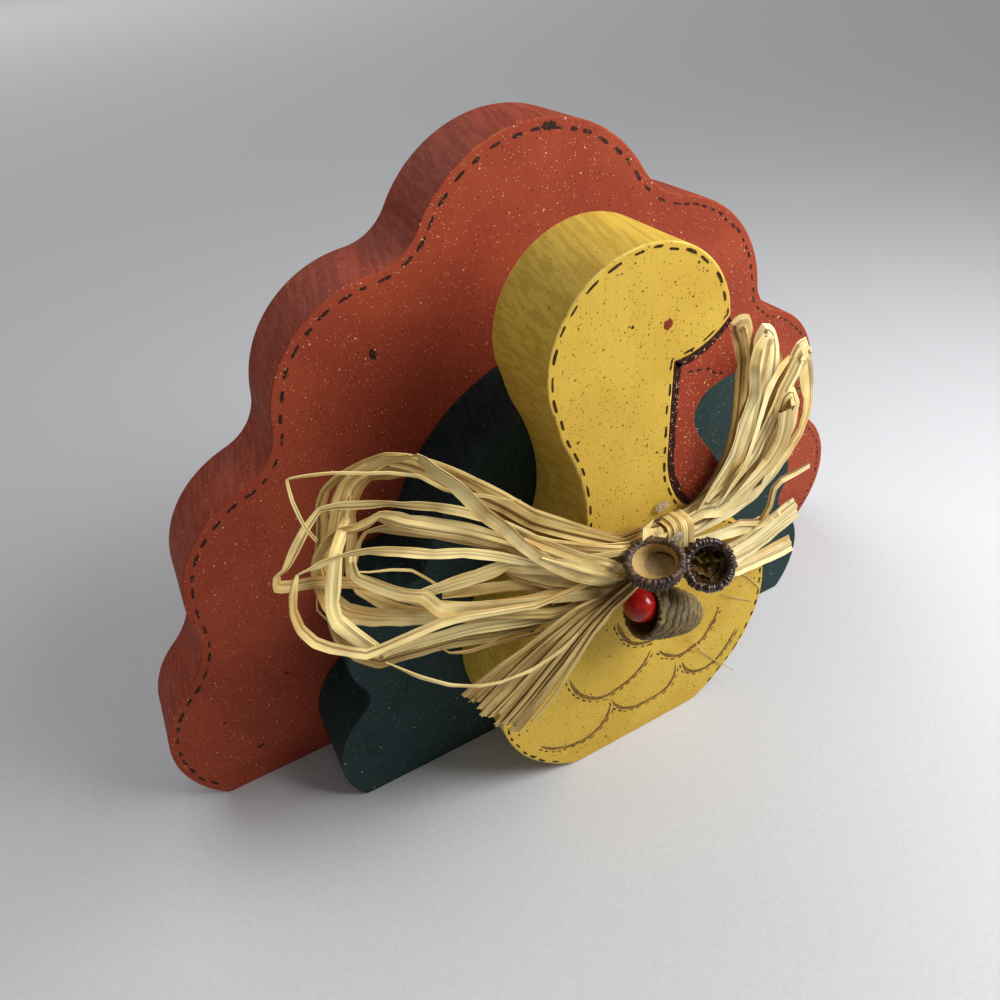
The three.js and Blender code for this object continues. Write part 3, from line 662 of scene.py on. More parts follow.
class Strokes:
    """Thin raised strokes of paint on a flat face, gathered into one piece."""

    def __init__(self, front, seed):
        self.front = front
        self.rng = np.random.default_rng(seed)
        self.points = []
        self.faces = []

    def stroke(self, path, width, taper):
        path = np.asarray(path, float)
        count = len(path)
        way = heading(path)
        side = np.stack([-way[:, 1], way[:, 0]], 1)
        share = np.linspace(0, 1, count)
        full = taper + (1 - taper) * np.minimum(1, np.sin(share * math.pi) * STROKE_SWELL)
        left = path + side * (full * width / 2 * self.rng.uniform(*STROKE_EDGE, count))[:, None]
        right = path - side * (full * width / 2 * self.rng.uniform(*STROKE_EDGE, count))[:, None]
        self.prism(np.concatenate([right, left[::-1]]), count)

    def prism(self, outline, half):
        """A closed slab of paint whose outline is two rows of half points each."""
        base = len(self.points)
        size = 2 * half
        for y in (self.front - PAINT_PROUD, self.front + PAINT_SUNK):
            self.points += [(x, y, z) for x, z in outline]
        for i in range(half - 1):
            a, b, c, d = i, i + 1, size - 2 - i, size - 1 - i
            self.faces.append((base + a, base + b, base + c, base + d))
            self.faces.append((base + size + d, base + size + c, base + size + b, base + size + a))
        for i in range(size):
            j = (i + 1) % size
            self.faces.append((base + j, base + i, base + size + i, base + size + j))

    def blot(self, x, z, width, height, corners=BLOT_CORNERS):
        """A dab of the brush, drawn as two rows of points across its width."""
        across = np.linspace(-1, 1, corners)
        tall = np.sqrt(np.maximum(BLOT_LEAST, 1 - across ** 2)) * height / 2
        low = np.stack([x + across * width / 2, z - tall * self.rng.uniform(*BLOT_EDGE, corners)], 1)
        high = np.stack([x + across * width / 2, z + tall * self.rng.uniform(*BLOT_EDGE, corners)], 1)
        self.prism(np.concatenate([low, high[::-1]]), corners)

    def dashes(self, line, dash, gap, width, keep=lambda x, z: True):
        """Dashes along a line, each a little off in length, place and width."""
        line = np.asarray(line, float)
        run = distance_along(line)
        at = 0.0
        while at < run[-1] - dash:
            size = dash * self.rng.uniform(*DASH_LENGTHS)
            places = np.linspace(at, min(run[-1], at + size), DASH_POINTS)
            path = np.stack([np.interp(places, run, line[:, k]) for k in (0, 1)], 1)
            path = path + self.rng.normal(0, DASH_STRAY, 2)
            if keep(*path[2]) and keep(*path[0]) and keep(*path[-1]):
                self.stroke(path, width * self.rng.uniform(*DASH_WIDTHS), DASH_TAPER)
            at += size + gap * self.rng.uniform(*DASH_GAPS)

    def done(self, name, material, slot):
        return add_piece(name, self.points, self.faces, material, smooth=False)


# Stitches are dash, gap and width; blots are x, z, width and height
STITCH_INSET = 1.9
STITCH = (2.5, 2.2, 0.68)
SMALL_STITCH = (1.7, 1.3, 0.54)
SMALL_FROM = 38.0
STITCH_BASE = 3.2
BODY_STITCH_INSET = 0.95
BODY_STITCH = (2.3, 2.2, 0.52)
BODY_STITCH_BASE = 4.0
FEATHER_WIDTH = 1.0
FEATHER_DASH = (1.5, 1.3, 0.36)
FEATHER_DASH_OUT = 1.05
FEATHER_TAPER = 0.3
FEATHER_BASE = 2.0
LINE_STEP = 0.6
BLOTS = ((4.3, 142.1, 3.4, 1.7), (-38.2, 107.5, 1.6, 2.4), (-88, 12, 2, 0.8), (-66.5, 20, 1.6, 0.8),
         (-75.5, 33, 1.2, 1))
BEAK_BAND = 1.5
BAND_TAPER = 0.7
SEAM_REACH = 0.9
BAND_TURN = math.radians(35)
SCALLOPS = (
    ((-5.8, 46.1), (-4.3, 41.5), (-1.3, 36.5), (2.5, 34.4), (5.8, 33.8)),
    ((-18.7, 34.3), (-16.9, 28.6), (-13.8, 24.4), (-9.2, 21.7), (-4.4, 22.4), (0.3, 24.6), (4.2, 30.4)),
    ((-27.5, 14.9), (-24.5, 11.7), (-19.4, 8.9), (-13.4, 8.6), (-9.1, 11.8), (-7.6, 17)),
    ((-6.8, 18.4), (-4.2, 13.7), (0.2, 10.9), (5.3, 10.7), (10.1, 11.6), (12.7, 19.2)),
    ((7.1, 28.6), (10.1, 24.8), (14, 22.7), (17.8, 23.4), (20.3, 24.2), (23.1, 28.2), (25, 33.7)),
    ((15, 18.9), (17.4, 14.1), (21, 11.7), (25.7, 12), (29.6, 16), (32.2, 21.6)),
)
EYE = (3.4, 116.6, 1.9, 2.1)
EYE_CORNERS = 17
MOUTH_STITCH = (1.4, 1.0, 0.45)
MOUTH_STEP = 0.5
MOUTH_LINE = ((9.3, 105.4), (12.6, 104.6), (15.8, 103.1), (18.8, 101.3))


def above(level):
    return lambda x, z: z > level


def closed(loop):
    return np.concatenate([loop, loop[:1]])


def beside(line, out):
    """A line moved sideways, to the right of its way."""
    way = heading(line)
    return line + np.stack([way[:, 1], -way[:, 0]], 1) * out


def touching(loop, other, reach):
    """The longest run of a loop's points that lie within reach of another loop."""
    near = np.array([np.linalg.norm(other - p, axis=1).min() < reach for p in loop])
    start = int(np.flatnonzero(~near)[0])
    order = np.roll(np.arange(len(loop)), -start)
    runs = np.split(order, np.flatnonzero(np.diff(near[order].astype(int))) + 1)
    return loop[max((r for r in runs if near[r[0]]), key=len)]


def straight_runs(line, most):
    """A line cut where it turns more sharply than most."""
    way = np.diff(line, axis=0)
    angle = np.unwrap(np.arctan2(way[:, 1], way[:, 0]))
    cuts = [i + 1 for i in np.flatnonzero(abs(np.diff(angle)) > most)]
    return [run[1:-1] for run in np.split(line, cuts) if len(run) > 5]


stitches = Strokes(tail_front, 5)
tail_line = closed(moved_in(tail_loop, STITCH_INSET))
stitches.dashes(tail_line, *STITCH, lambda x, z: z > STITCH_BASE and x < SMALL_FROM)
stitches.dashes(tail_line, *SMALL_STITCH, lambda x, z: z > STITCH_BASE and x > SMALL_FROM)
stitches.front -= PAINT_PROUD / 2
for blot in BLOTS:
    stitches.blot(*blot)
stitches.done("tail_stitches", DARK_STROKE, "tail_red")

feathers = Strokes(body_front, 6)
fine = Strokes(body_front, 9)
for scallop in SCALLOPS:
    line = through(scallop, LINE_STEP)
    feathers.stroke(line, FEATHER_WIDTH, FEATHER_TAPER)
    fine.dashes(beside(line, FEATHER_DASH_OUT), *FEATHER_DASH, above(FEATHER_BASE))
fine.dashes(closed(moved_in(body_loop, BODY_STITCH_INSET)), *BODY_STITCH, above(BODY_STITCH_BASE))
feathers.done("breast_feathers", FEATHER_STROKE, "body_yellow")
fine.done("breast_stitches", FINE_STROKE, "body_yellow")

eye = Strokes(body_front, 7)
eye.blot(*EYE, EYE_CORNERS)
eye.done("eye", EYE_STROKE, "body_yellow")

mouth = Strokes(beak_front, 8)
mouth.dashes(through(MOUTH_LINE, MOUTH_STEP), *MOUTH_STITCH)
mouth.done("mouth_line", DARK_STROKE, "beak_red")
band = Strokes(beak_front, 10)
seam = touching(beak_loop, body_loop, SEAM_REACH)
for run in straight_runs(seam, BAND_TURN):
    band.stroke(beside(run, -BEAK_BAND / 2), BEAK_BAND, BAND_TAPER)
    band.front -= PAINT_PROUD / 2
band.done("beak_band", BAND_STROKE, "beak_red")


# Raffia

# Shifts of the straw's pattern from strip to strip and from front to back, crease in the knot and how much
# of it eases past the knot, and how far a ragged end may lie past its cut
STRIP_SHIFT = 0.37
BACK_SHIFT = 0.3
KNOT_CREASE = 1.6
CREASE_EASE = 0.6
CUT_PAST = 0.2


def sweep(rows, normals, closed_loop):
    """Points and faces of a thin strip that runs through rows of points."""
    count, folds = rows.shape[:2]
    skin = normals[:, None, :] * RAFFIA_T / 2
    points = np.concatenate([rows + skin, (rows - skin)[:, ::-1]], 1).reshape(-1, 3)
    size = 2 * folds
    faces = []
    for k in range(count if closed_loop else count - 1):
        a, b = k * size, (k + 1) % count * size
        faces += [(a + i, a + (i + 1) % size, b + (i + 1) % size, b + i) for i in range(size)]
    if not closed_loop:
        last = (count - 1) * size
        for i in range(folds - 1):
            quad = (i, i + 1, size - 2 - i, size - 1 - i)
            faces += [quad[::-1], tuple(last + q for q in quad)]
    return points, faces


def add_straw(name, strips, number, node=None, closed_loop=False, material=STRAW):
    """One piece of strips, each given as rows of points, normals, and how far along and across they lie."""
    points, faces, lie = [], [], []
    for rows, normals, run, across in strips:
        strip_points, strip_faces = sweep(rows, normals, closed_loop)
        faces += [tuple(len(points) + i for i in face) for face in strip_faces]
        points += list(strip_points)
        number += STRIP_SHIFT
        for along, row in zip(run, across):
            lie += [(along, v, number) for v in (*row, *(row[::-1] + BACK_SHIFT))]
    piece = add_piece(name, points, faces, material, (node,) if node else ())
    store(piece, "strand", "FLOAT_VECTOR", lie)
    piece.data.set_sharp_from_angle(angle=FOLD_ANGLE)


def strip(route, width, seed, loops_back, lean_most, root_blend=32.0, root_width=2.4, cut=0.0):
    """A strand along a route of x, lift and z: it kinks, turns on edge in its bends, creases along its
    length, narrows into the knot and may end in a ragged cut."""
    rng = np.random.default_rng(seed)
    path = through([(x, BODY_FRONT - lift, z) for x, lift, z in route], RAFFIA_STEP, slack=RAFFIA_SLACK)
    run = distance_along(path)
    marks = np.cumsum(rng.uniform(*KINK_GAP, int(run[-1] / KINK_GAP[0]) + 2))

    def kinks(size):
        return np.interp(run, marks, rng.uniform(-size, size, len(marks)))

    root = np.minimum(run, run[-1] - run) if loops_back else run
    free = ease(np.clip(root / root_blend, 0, 1))
    path = path + np.stack([kinks(KINK), kinks(KINK_DEEP), kinks(KINK)], 1) * free[:, None]
    way = heading(path)
    bend = np.linalg.norm(np.gradient(way, axis=0), axis=1) / RAFFIA_STEP
    bend = np.convolve(np.pad(bend, 3, mode="edge"), np.hanning(9)[1:-1] / np.hanning(9).sum(), "valid")
    lean = (lean_most * bend / (bend + BEND_HALF) + kinks(KINK_LEAN)) * np.clip(root / LEAN_RUN, 0, 1)
    flat = np.stack([-way[:, 2], 0 * way[:, 0], way[:, 0]], 1)
    flat /= np.maximum(1e-6, np.linalg.norm(flat, axis=1))[:, None]
    across = np.cos(lean)[:, None] * flat + np.sin(lean)[:, None] * np.cross(flat, way)
    normal = np.cross(across, way)
    narrow = min(1.0, root_width / width)
    wide = width * (narrow + (1 - narrow) * free) * (1 + kinks(KINK_WIDTH))
    places = np.linspace(-0.5, 0.5, RAFFIA_FOLDS)
    places[1:-1] += rng.uniform(-FOLD_STRAY, FOLD_STRAY, RAFFIA_FOLDS - 2)
    blend = (0.5 + kinks(0.5))[:, None]
    crease = blend * rng.uniform(-1, 1, RAFFIA_FOLDS) + (1 - blend) * rng.uniform(-1, 1, RAFFIA_FOLDS)
    folded = CREASE * (KNOT_CREASE - CREASE_EASE * free) * width
    heights = (crease - crease.mean(1)[:, None]) * folded[:, None]
    lie = wide[:, None] * places
    rows = path[:, None] + across[:, None] * lie[:, :, None] + normal[:, None] * heights[:, :, None]
    rows[-1] += way[-1] * rng.uniform(-cut, CUT_PAST * cut, RAFFIA_FOLDS)[:, None]
    return rows, normal, run, lie


# Lift of the strands off the breast, in the knot and past it, and the roots that they share
KNOT_PITCH = 0.55
FAN_SPREAD = 0.1
FAN_RUN = 17.5
KNOT_HALF = 3.2
FIRST_LIFT = 1.7
REACH = 60.0
LEFT_ROOT = ((5.2, 72.2), (-7, 73.4))
LEFT_RETURN = ((-8, 69.6), (5.2, 69.2))
RIGHT_ROOT = ((5.8, 72.2), (12.5, 73.4))
RIGHT_RETURN = ((12, 68.4), (5.8, 69.2))
LEFT_END_ROOT = ((5.2, 66.2), (-6, 66))
RIGHT_END_ROOT = ((5.8, 66.2), (9.6, 65.9))
# Strands: width, bow off the breast and points; cut ends: width and points
LEFT_LOOPS = (
    (2.2, -6, (
        (-25.9, 87.5), (-30.8, 92.8), (-35.3, 97.2), (-39.4, 100.9), (-42.5, 103.2), (-45.6, 105.1),
        (-49, 106.4), (-52.1, 105.9), (-57.2, 104.5), (-59.2, 103.1), (-60.4, 100.9), (-61.2, 97.1),
        (-62.4, 93.1), (-63.9, 88.7), (-64.8, 83.8), (-64.7, 80.2), (-62.4, 78.2), (-59.8, 76.5),
        (-55.5, 74), (-50.4, 71.2), (-44.6, 68.7), (-37.4, 66.3), (-29.7, 63.5))),
    (2.3, -5.5, (
        (-26, 83.5), (-30, 88.1), (-34, 92.9), (-38.4, 97.9), (-42.3, 101.6), (-46.3, 103.7),
        (-49.9, 104.4), (-52.6, 104.7), (-54.4, 103.3), (-55.9, 101.2), (-57.2, 97.9), (-57.8, 93.8),
        (-58.9, 89.7), (-59.6, 87.5), (-59.2, 83.4), (-57, 79.4), (-54.9, 76.2), (-52.6, 73.5),
        (-46.5, 71.5), (-41.2, 70.2), (-33.8, 68.1), (-27.2, 66))),
    (2.7, -4, (
        (-26.3, 87.1), (-31, 92.3), (-35, 96.2), (-39.1, 100.7), (-42.8, 103.8), (-46.1, 106.4),
        (-49.4, 108.1), (-52.5, 107.7), (-55.1, 106.8), (-57.1, 105.1), (-58.5, 102.3), (-59.9, 99.1),
        (-61.1, 95.3), (-62, 90.8), (-63.3, 87.1), (-64.6, 82.8), (-65, 78.3), (-65, 74.3),
        (-62.8, 69.4), (-59.3, 65.8), (-55.4, 65.5), (-50, 64.9), (-44.5, 64.3), (-37, 61.5),
        (-28.9, 60.3))),
    (2, -2.5, (
        (-27.5, 80.2), (-33.5, 85), (-39.2, 89), (-44.8, 92.9), (-49.6, 95.7), (-53.7, 97.8),
        (-56.1, 98), (-57.7, 96.3), (-58.9, 93.7), (-59.9, 90.8), (-59.7, 87.3), (-57.4, 84),
        (-54.9, 81.1), (-52, 78.2), (-47.4, 75.7), (-42.2, 73.7), (-33, 70))),
    (3.4, -1, (
        (-28.1, 82.1), (-34.1, 87.2), (-39.7, 91.9), (-45.3, 95.8), (-50.2, 99.2), (-54, 102.3),
        (-56, 101.7), (-58.2, 101.5), (-60.4, 102.1), (-62.7, 101), (-64.2, 99.4), (-65.1, 96.3),
        (-65.1, 92.2), (-65, 88.8), (-63.5, 85.6), (-59, 82), (-54.1, 79.1), (-48.2, 76.1),
        (-41.2, 72.7), (-33.7, 69.5))),
    (1.7, -0.7, (
        (-28.2, 86.3), (-32.4, 90.4), (-36.3, 94.3), (-40.1, 97.5), (-44.9, 101), (-49, 103.4),
        (-52.3, 105.2), (-56.3, 106.5), (-59.8, 107.7), (-62.7, 108.2), (-65.2, 106), (-67.6, 103),
        (-70.1, 99.7), (-71.5, 99), (-71.9, 97.1), (-69.3, 96), (-66.3, 95.1), (-63.9, 93.8),
        (-61.2, 92.2), (-57.9, 89.4), (-54.1, 85.4), (-49.6, 81.4), (-42.9, 77.3), (-35.7, 73.8),
        (-29.2, 71))),
    (1.7, 2, (
        (-29.5, 82.2), (-35.7, 87.1), (-42.5, 91.8), (-48.3, 94.8), (-53.3, 98.2), (-57.8, 101),
        (-61.8, 102.4), (-66.1, 102.5), (-69, 102.4), (-70.3, 99.5), (-71.3, 96.1), (-71.3, 92),
        (-70.1, 88.2), (-67.8, 85), (-65.2, 82.2), (-62.4, 79.5), (-60.4, 79.3), (-56.6, 79.2),
        (-53.1, 79), (-48.9, 78.5), (-44.2, 77), (-36.8, 73.8), (-30.1, 71.1))),
)
RIGHT_LOOPS = (
    (3.2, -4.5, (
        (16.3, 76.7), (19.5, 80.9), (21.4, 86.7), (21.9, 91.9), (22.2, 96.9), (22.2, 103.8), (21.2, 108),
        (20.1, 111.1), (21.4, 111.5), (22.9, 111.1), (23.5, 109), (23.3, 105.8), (24, 101.7),
        (23.7, 97.7), (23.7, 93.4), (22.1, 85.9), (20.1, 79.4), (16.6, 74))),
    (4, -3, (
        (18, 76.5), (22.5, 82.2), (23.8, 89.3), (25.8, 95.3), (26.1, 101.5), (26.1, 106.1),
        (26.8, 108.4), (28.1, 107), (28.8, 103.6), (28.7, 99.6), (28.2, 94.5), (27.7, 89.1),
        (25.3, 83.5), (23.2, 78.5), (19.3, 73.7))),
    (3.6, -1.5, (
        (19.6, 73.1), (24.4, 77.6), (26.7, 84.7), (28, 90.7), (29.8, 94.9), (32.6, 98.2), (34.9, 100.8),
        (36, 102.9), (37.2, 103.3), (37.2, 101.5), (36.2, 99.5), (34.3, 95.9), (31.9, 91.9),
        (29.5, 85.6), (27.6, 80.6), (23.9, 75.2), (17.9, 72))),
    (3.1, 0.5, (
        (19.6, 74.5), (25, 79.7), (28.2, 86.7), (31.2, 96.8), (32.9, 100.5), (33.3, 103.2),
        (34.4, 100.8), (36, 96.2), (37.3, 92.5), (37.8, 89.1), (37.4, 85), (35.3, 80.7), (32.6, 77.8),
        (28.9, 73.2), (23.9, 69.9), (16.8, 69.1))),
    (4.2, 3, (
        (16.7, 72.2), (21.6, 74.2), (25.3, 78.4), (27.6, 84.3), (29.5, 89.4), (30.3, 94.8), (30.9, 95.2),
        (32.4, 90.4), (31.7, 83.7), (30.4, 79), (27.5, 74.4), (22.9, 71.1), (17.1, 69.5))),
)
LEFT_ENDS = (
    (5, ((-13.5, 65), (-20, 65), (-27.5, 62), (-37, 57.5), (-45.5, 52))),
    (5.4, ((-14, 65), (-20, 63.5), (-27.5, 59.5), (-36.5, 53), (-43.5, 47.5))),
    (5.4, ((-14.5, 64.5), (-20, 62), (-26.5, 56.5), (-34.5, 49), (-41.5, 43))),
    (4.6, ((-15, 64.5), (-19.6, 60.8), (-25.6, 54.4), (-32.6, 46.6), (-38.6, 40.4))),
    (0.6, ((-14.5, 64.8), (-18.6, 60.2), (-23, 53.8), (-28.5, 46), (-33.5, 40.5))),
)
LEFT_END_LIE = (6, -2.5)
# Strips of the fanned ends: width, overlap, lean, run and width at the root, cut, spread, stray and lift
END_WIDTH = 1.35
END_OVERLAP = 1.9
END_LEAN = 0.25
END_BLEND = 20.0
END_ROOT = 1.0
END_CUT = 1.6
END_SPREAD = 0.7
END_STRAY = (-2.5, 1.0)
END_LIFT = 0.2
RIGHT_ENDS = (
    (4.4, ((20, 50), (28, 47.7), (32.7, 47.5), (37.6, 47.7), (41, 48.1), (43.9, 48.8))),
    (3.8, ((18, 55), (25.3, 52.2), (30.5, 52.9), (35.1, 54.4), (39.1, 56.5), (43.4, 58.2))),
    (3.6, ((17, 58.5), (23.4, 55.6), (28.9, 56.6), (33.4, 58.4), (37.8, 60.5), (41.4, 62.4))),
    (1.6, (
        (19, 64), (24.6, 63.9), (30.7, 61.7), (32.6, 65.2), (33.1, 70.2), (34.7, 71.8), (38.2, 72.3),
        (42.6, 73.3))),
)
RIGHT_END_RISE = -1.17
RIGHT_END_BOW = 4
RIGHT_END_LEAN = 0.5
# Loose strands and single fibres of the same bow: width, then x, lift and z
LOOSE = {
    "raffia_sash": (2.5, (
        (-8.2, 6.5, 66.2), (-14.5, 6.7, 70.4), (-20.4, 6.9, 74.9), (-24.9, 7, 79.5), (-29.2, 7.1, 84.6),
        (-32.4, 7.2, 89.3), (-34.4, 7.4, 93), (-38.1, 7.4, 98.2), (-40.9, 7.5, 103.1), (-43, 7.3, 106.5),
        (-45.4, 6.8, 109.5), (-47.1, 6.1, 112.4), (-47.5, 4.8, 112.3), (-49.2, 3.7, 111.8),
        (-51.2, 2.7, 111.8), (-53.4, 1.8, 111), (-55.9, 0.9, 110.1), (-57.5, 0.3, 108.6),
        (-58.7, -0.4, 106.2), (-59.9, -1, 102.7))),
    "raffia_fold": (2.8, (
        (-59.8, 3.6, 97.3), (-60.3, 4.6, 96.9), (-60.5, 5.6, 94.8), (-57.2, 6.2, 90.8),
        (-53.9, 6.2, 87.4), (-50.4, 6.2, 84.9), (-47.8, 6.2, 80), (-45.4, 6.2, 79.1), (-40, 6, 76.5),
        (-32.5, 5.8, 73.1), (-24.5, 5.6, 69.7), (-14.7, 5.5, 65.6), (-7.9, 5.5, 64))),
    "raffia_low": (3, (
        (-18, 5.9, 74), (-28.9, 5.8, 80.2), (-33.9, 5.6, 83.1), (-40.8, 5.5, 83.8), (-47.7, 5.2, 84.6),
        (-51.1, 4.9, 84.7), (-52.9, 4.6, 84.9))),
    "raffia_front": (2.5, (
        (-57, 0.3, 105.7), (-58.7, 1.5, 103), (-60.8, 4, 102), (-62.6, 5.8, 100.6), (-63.5, 6.5, 98.5),
        (-64.5, 6.7, 95.3), (-65.4, 6.7, 91.7), (-65.3, 6.6, 88.3), (-63.5, 6.3, 83.5), (-61.4, 6, 78.8),
        (-59.9, 5.8, 75.3))),
    "raffia_cross": (5.2, (
        (-0.3, 2.5, 75), (-2.6, 5.6, 76.8), (-2.7, 6.3, 75.7), (-1.3, 5.6, 72.6), (1.5, 3.5, 67.8))),
    "raffia_slim": (1.8, (
        (10.8, 4, 74.3), (14.1, 4.6, 79.7), (17.4, 5.3, 86.2), (18.7, 5.5, 93.6), (20.4, 5.5, 99.2),
        (19.5, 5.3, 105.5), (20.5, 4.6, 108.6), (22.8, 4, 110.7))),
    "raffia_slit": (1.6, (
        (14, 5.5, 74), (20, 6, 81.9), (21.8, 6.2, 90.2), (23.4, 6.5, 100.7), (26.2, 5.8, 103.5),
        (29.1, 5, 104.4))),
    "raffia_behind": (2.4, ((36.2, 2.5, 98.8), (36.6, 2.3, 95.3), (35.7, 2.2, 92.7), (35.1, 2, 94.6))),
    "raffia_back": (3, ((30, 1.5, 95), (29.8, 1.2, 97.7), (30.3, 0.8, 100.8), (31.7, 0.5, 101.7))),
    "raffia_end": (2.6, (
        (10, 2.4, 65), (16.6, 2.5, 63), (23.3, 2.6, 61.6), (29.1, 2.8, 60.9), (32.6, 2.9, 61.1),
        (34.4, 3, 61.9))),
    "raffia_fill_1": (3.6, (
        (-35.2, 3.6, 83.7), (-32.5, 4, 80.4), (-28.5, 4.3, 76.9), (-24.2, 4.6, 73.5), (-18.7, 4.9, 69.8),
        (-14.2, 5.1, 66.9), (-10.1, 5.2, 64.5))),
    "raffia_fill_2": (2.5, (
        (-46.4, 3.4, 80.5), (-38.6, 3.5, 78), (-31.5, 3.7, 75.4), (-24.1, 3.9, 71.9), (-17.2, 4.1, 67.9),
        (-11.5, 4.2, 64.4))),
    "raffia_fill_3": (2.2, (
        (-44.3, 4.2, 74.1), (-40.4, 4.2, 72.8), (-35.8, 4.2, 70.6), (-30.6, 4.3, 67.5), (-25, 4.3, 64.3),
        (-19.5, 4.4, 62.7), (-14.5, 4.5, 62.4), (-10.4, 4.6, 62.3))),
    "raffia_fill_4": (2.8, (
        (-59, 2.2, 70.9), (-55.7, 2.3, 71.1), (-52.2, 2.5, 71), (-48.7, 2.6, 70.3), (-44.8, 2.8, 69.5),
        (-40.2, 2.9, 68.2), (-35.6, 3.1, 66.4), (-30.2, 3.2, 64.4), (-24.5, 3.4, 62.6),
        (-18.9, 3.5, 61.5), (-13.8, 3.5, 60.8), (-9.6, 3.6, 60.6))),
    "raffia_fill_5": (0.9, (
        (-48.4, 3.2, 67.6), (-47, 3.2, 65.4), (-43.3, 3.2, 63.7), (-39.8, 3.3, 63.2), (-35, 3.5, 62.1),
        (-29.1, 3.7, 60.4), (-23.6, 3.8, 59.1), (-17.6, 4, 59.1))),
    "raffia_fill_6": (2.6, (
        (-30.4, 6, 88.6), (-27.5, 6.1, 85.6), (-23.3, 6.2, 81.6), (-18.8, 6.2, 77.5), (-13.8, 6, 73.2),
        (-10, 5.8, 69.7))),
    "raffia_fill_7": (1.4, (
        (-28.2, 7.6, 84), (-24.3, 7.7, 80.4), (-19.8, 7.8, 76.6), (-14.9, 7.6, 72.6), (-11.1, 7.4, 69.7))),
    "raffia_fill_8": (3, (
        (12.6, 4.2, 76.2), (17.2, 3.9, 79.6), (20.4, 3.5, 83.9), (22.2, 3.3, 89.3), (22.9, 3.3, 95.2),
        (23.4, 3.2, 100.9), (23.5, 3.1, 105.7), (23.6, 3, 108.9))),
    "raffia_fill_9": (2.8, (
        (14.6, 4.8, 75.6), (19.9, 4.7, 79.9), (23.6, 4.6, 83.6), (25.5, 4.5, 87.5), (27.4, 4.5, 91.7),
        (29.4, 4.4, 96.2), (31.3, 4.3, 99.8), (32.3, 4.2, 102.6))),
    "raffia_fill_10": (3.8, (
        (17.5, 6, 75.1), (23, 6.2, 78.6), (26.6, 6.3, 81.5), (28.3, 6.5, 85.1), (28.7, 6.6, 89.4),
        (28.3, 6.8, 93.9))),
    "fibre_top": (0.55, (
        (-29.7, 4, 95.2), (-42.9, 4, 103.1), (-46.9, 5, 108.2), (-51.6, 6, 111.6), (-60.2, 7, 115.8),
        (-65.9, 7, 116.9), (-66.1, 7, 113.5), (-65.5, 6, 107.9), (-64.3, 5, 103.7))),
    "fibre_middle": (0.5, (
        (-60.1, 4.5, 94.6), (-58, 4.2, 93.2), (-54.5, 4, 91.7), (-51.2, 4, 89.8), (-49.4, 4, 87.4),
        (-47.2, 3.6, 83.9))),
    "fibre_left": (0.35, (
        (-66.1, 2, 91.7), (-67, 2, 89.7), (-67.5, 2, 87.5), (-66.9, 2.5, 85.7), (-66.4, 3, 84.7))),
    "fibre_low": (0.8, (
        (-59.6, 6, 73.6), (-54.5, 8, 69), (-49.6, 9, 64.2), (-44.1, 9.5, 60.4), (-39.9, 9.5, 58.5),
        (-33.1, 9, 57), (-26.1, 9, 58.6), (-18.9, 9, 63.2))),
    "fibre_hook": (0.7, (
        (24.3, 3, 57.2), (30.1, 4, 61.2), (32.2, 5, 63.8), (33.4, 5.5, 64.5), (35, 5, 62))),
    "fibre_breast_1": (0.3, ((24, 0.5, 49), (28.4, 0.5, 44.8), (33, 0.5, 40.9), (37.9, 0.4, 34.1))),
    "fibre_breast_2": (0.3, ((15.6, 0.6, 29.8), (20.6, 0.5, 20.9), (25.7, 0.4, 13.7), (33, 0.3, 4))),
    "fibre_breast_3": (0.25, ((24.5, 0.5, 39.3), (29.9, 0.4, 34.7), (35.9, 0.3, 30.1))),
}
LOOSE_LEAN = 0.8
LOOSE_BLEND = 8.0
LOOSE_ROOT = 0.35
STRAND_CUT = 2.0
# Loose strands in the lighter straw take painted light, those in the darker straw painted shade
LIT_STRANDS = ("raffia_slim", "raffia_slit", "raffia_end", "raffia_fill_8", "raffia_fill_9", "raffia_fill_10")
SHADED_STRANDS = ("raffia_fill_1", "raffia_fill_2", "raffia_fill_3", "raffia_fill_5", "raffia_behind", "raffia_back")
TONES = {**dict.fromkeys(LIT_STRANDS, LIT_STRAW), **dict.fromkeys(SHADED_STRANDS, SHADED_STRAW)}


def lift_at(layer, rise, bow, x, z):
    """Distance before the breast at a place, tight in the knot and fanned out past it."""
    away = math.hypot(x - KNOT[0], z - KNOT[1])
    share = ease(min(1.0, max(0.0, (away - KNOT_HALF) / (FAN_RUN - KNOT_HALF))))
    return FIRST_LIFT + (KNOT_PITCH + FAN_SPREAD * share) * layer + rise * share + bow * (away / REACH) ** 2


def add_strands(name, strands, root, back, seed, rise=0.0, lean=0.75, shaded_layers=0, unshaded_tone=STRAW):
    for layer, (width, bow, points) in enumerate(strands):
        route = [(x, lift_at(layer, rise, bow, x, z), z) for x, z in (*root, *points, *back)]
        made = strip(route, width, seed + layer, bool(back), lean, cut=0.0 if back else STRAND_CUT)
        node = f"{name}_{layer + 1}"
        # The first layers, furthest back, take the darker straw: painted shade
        tone = SHADED_STRAW if layer < shaded_layers else unshaded_tone
        add_straw(node + "_straw", [made], seed + layer, node, material=tone)


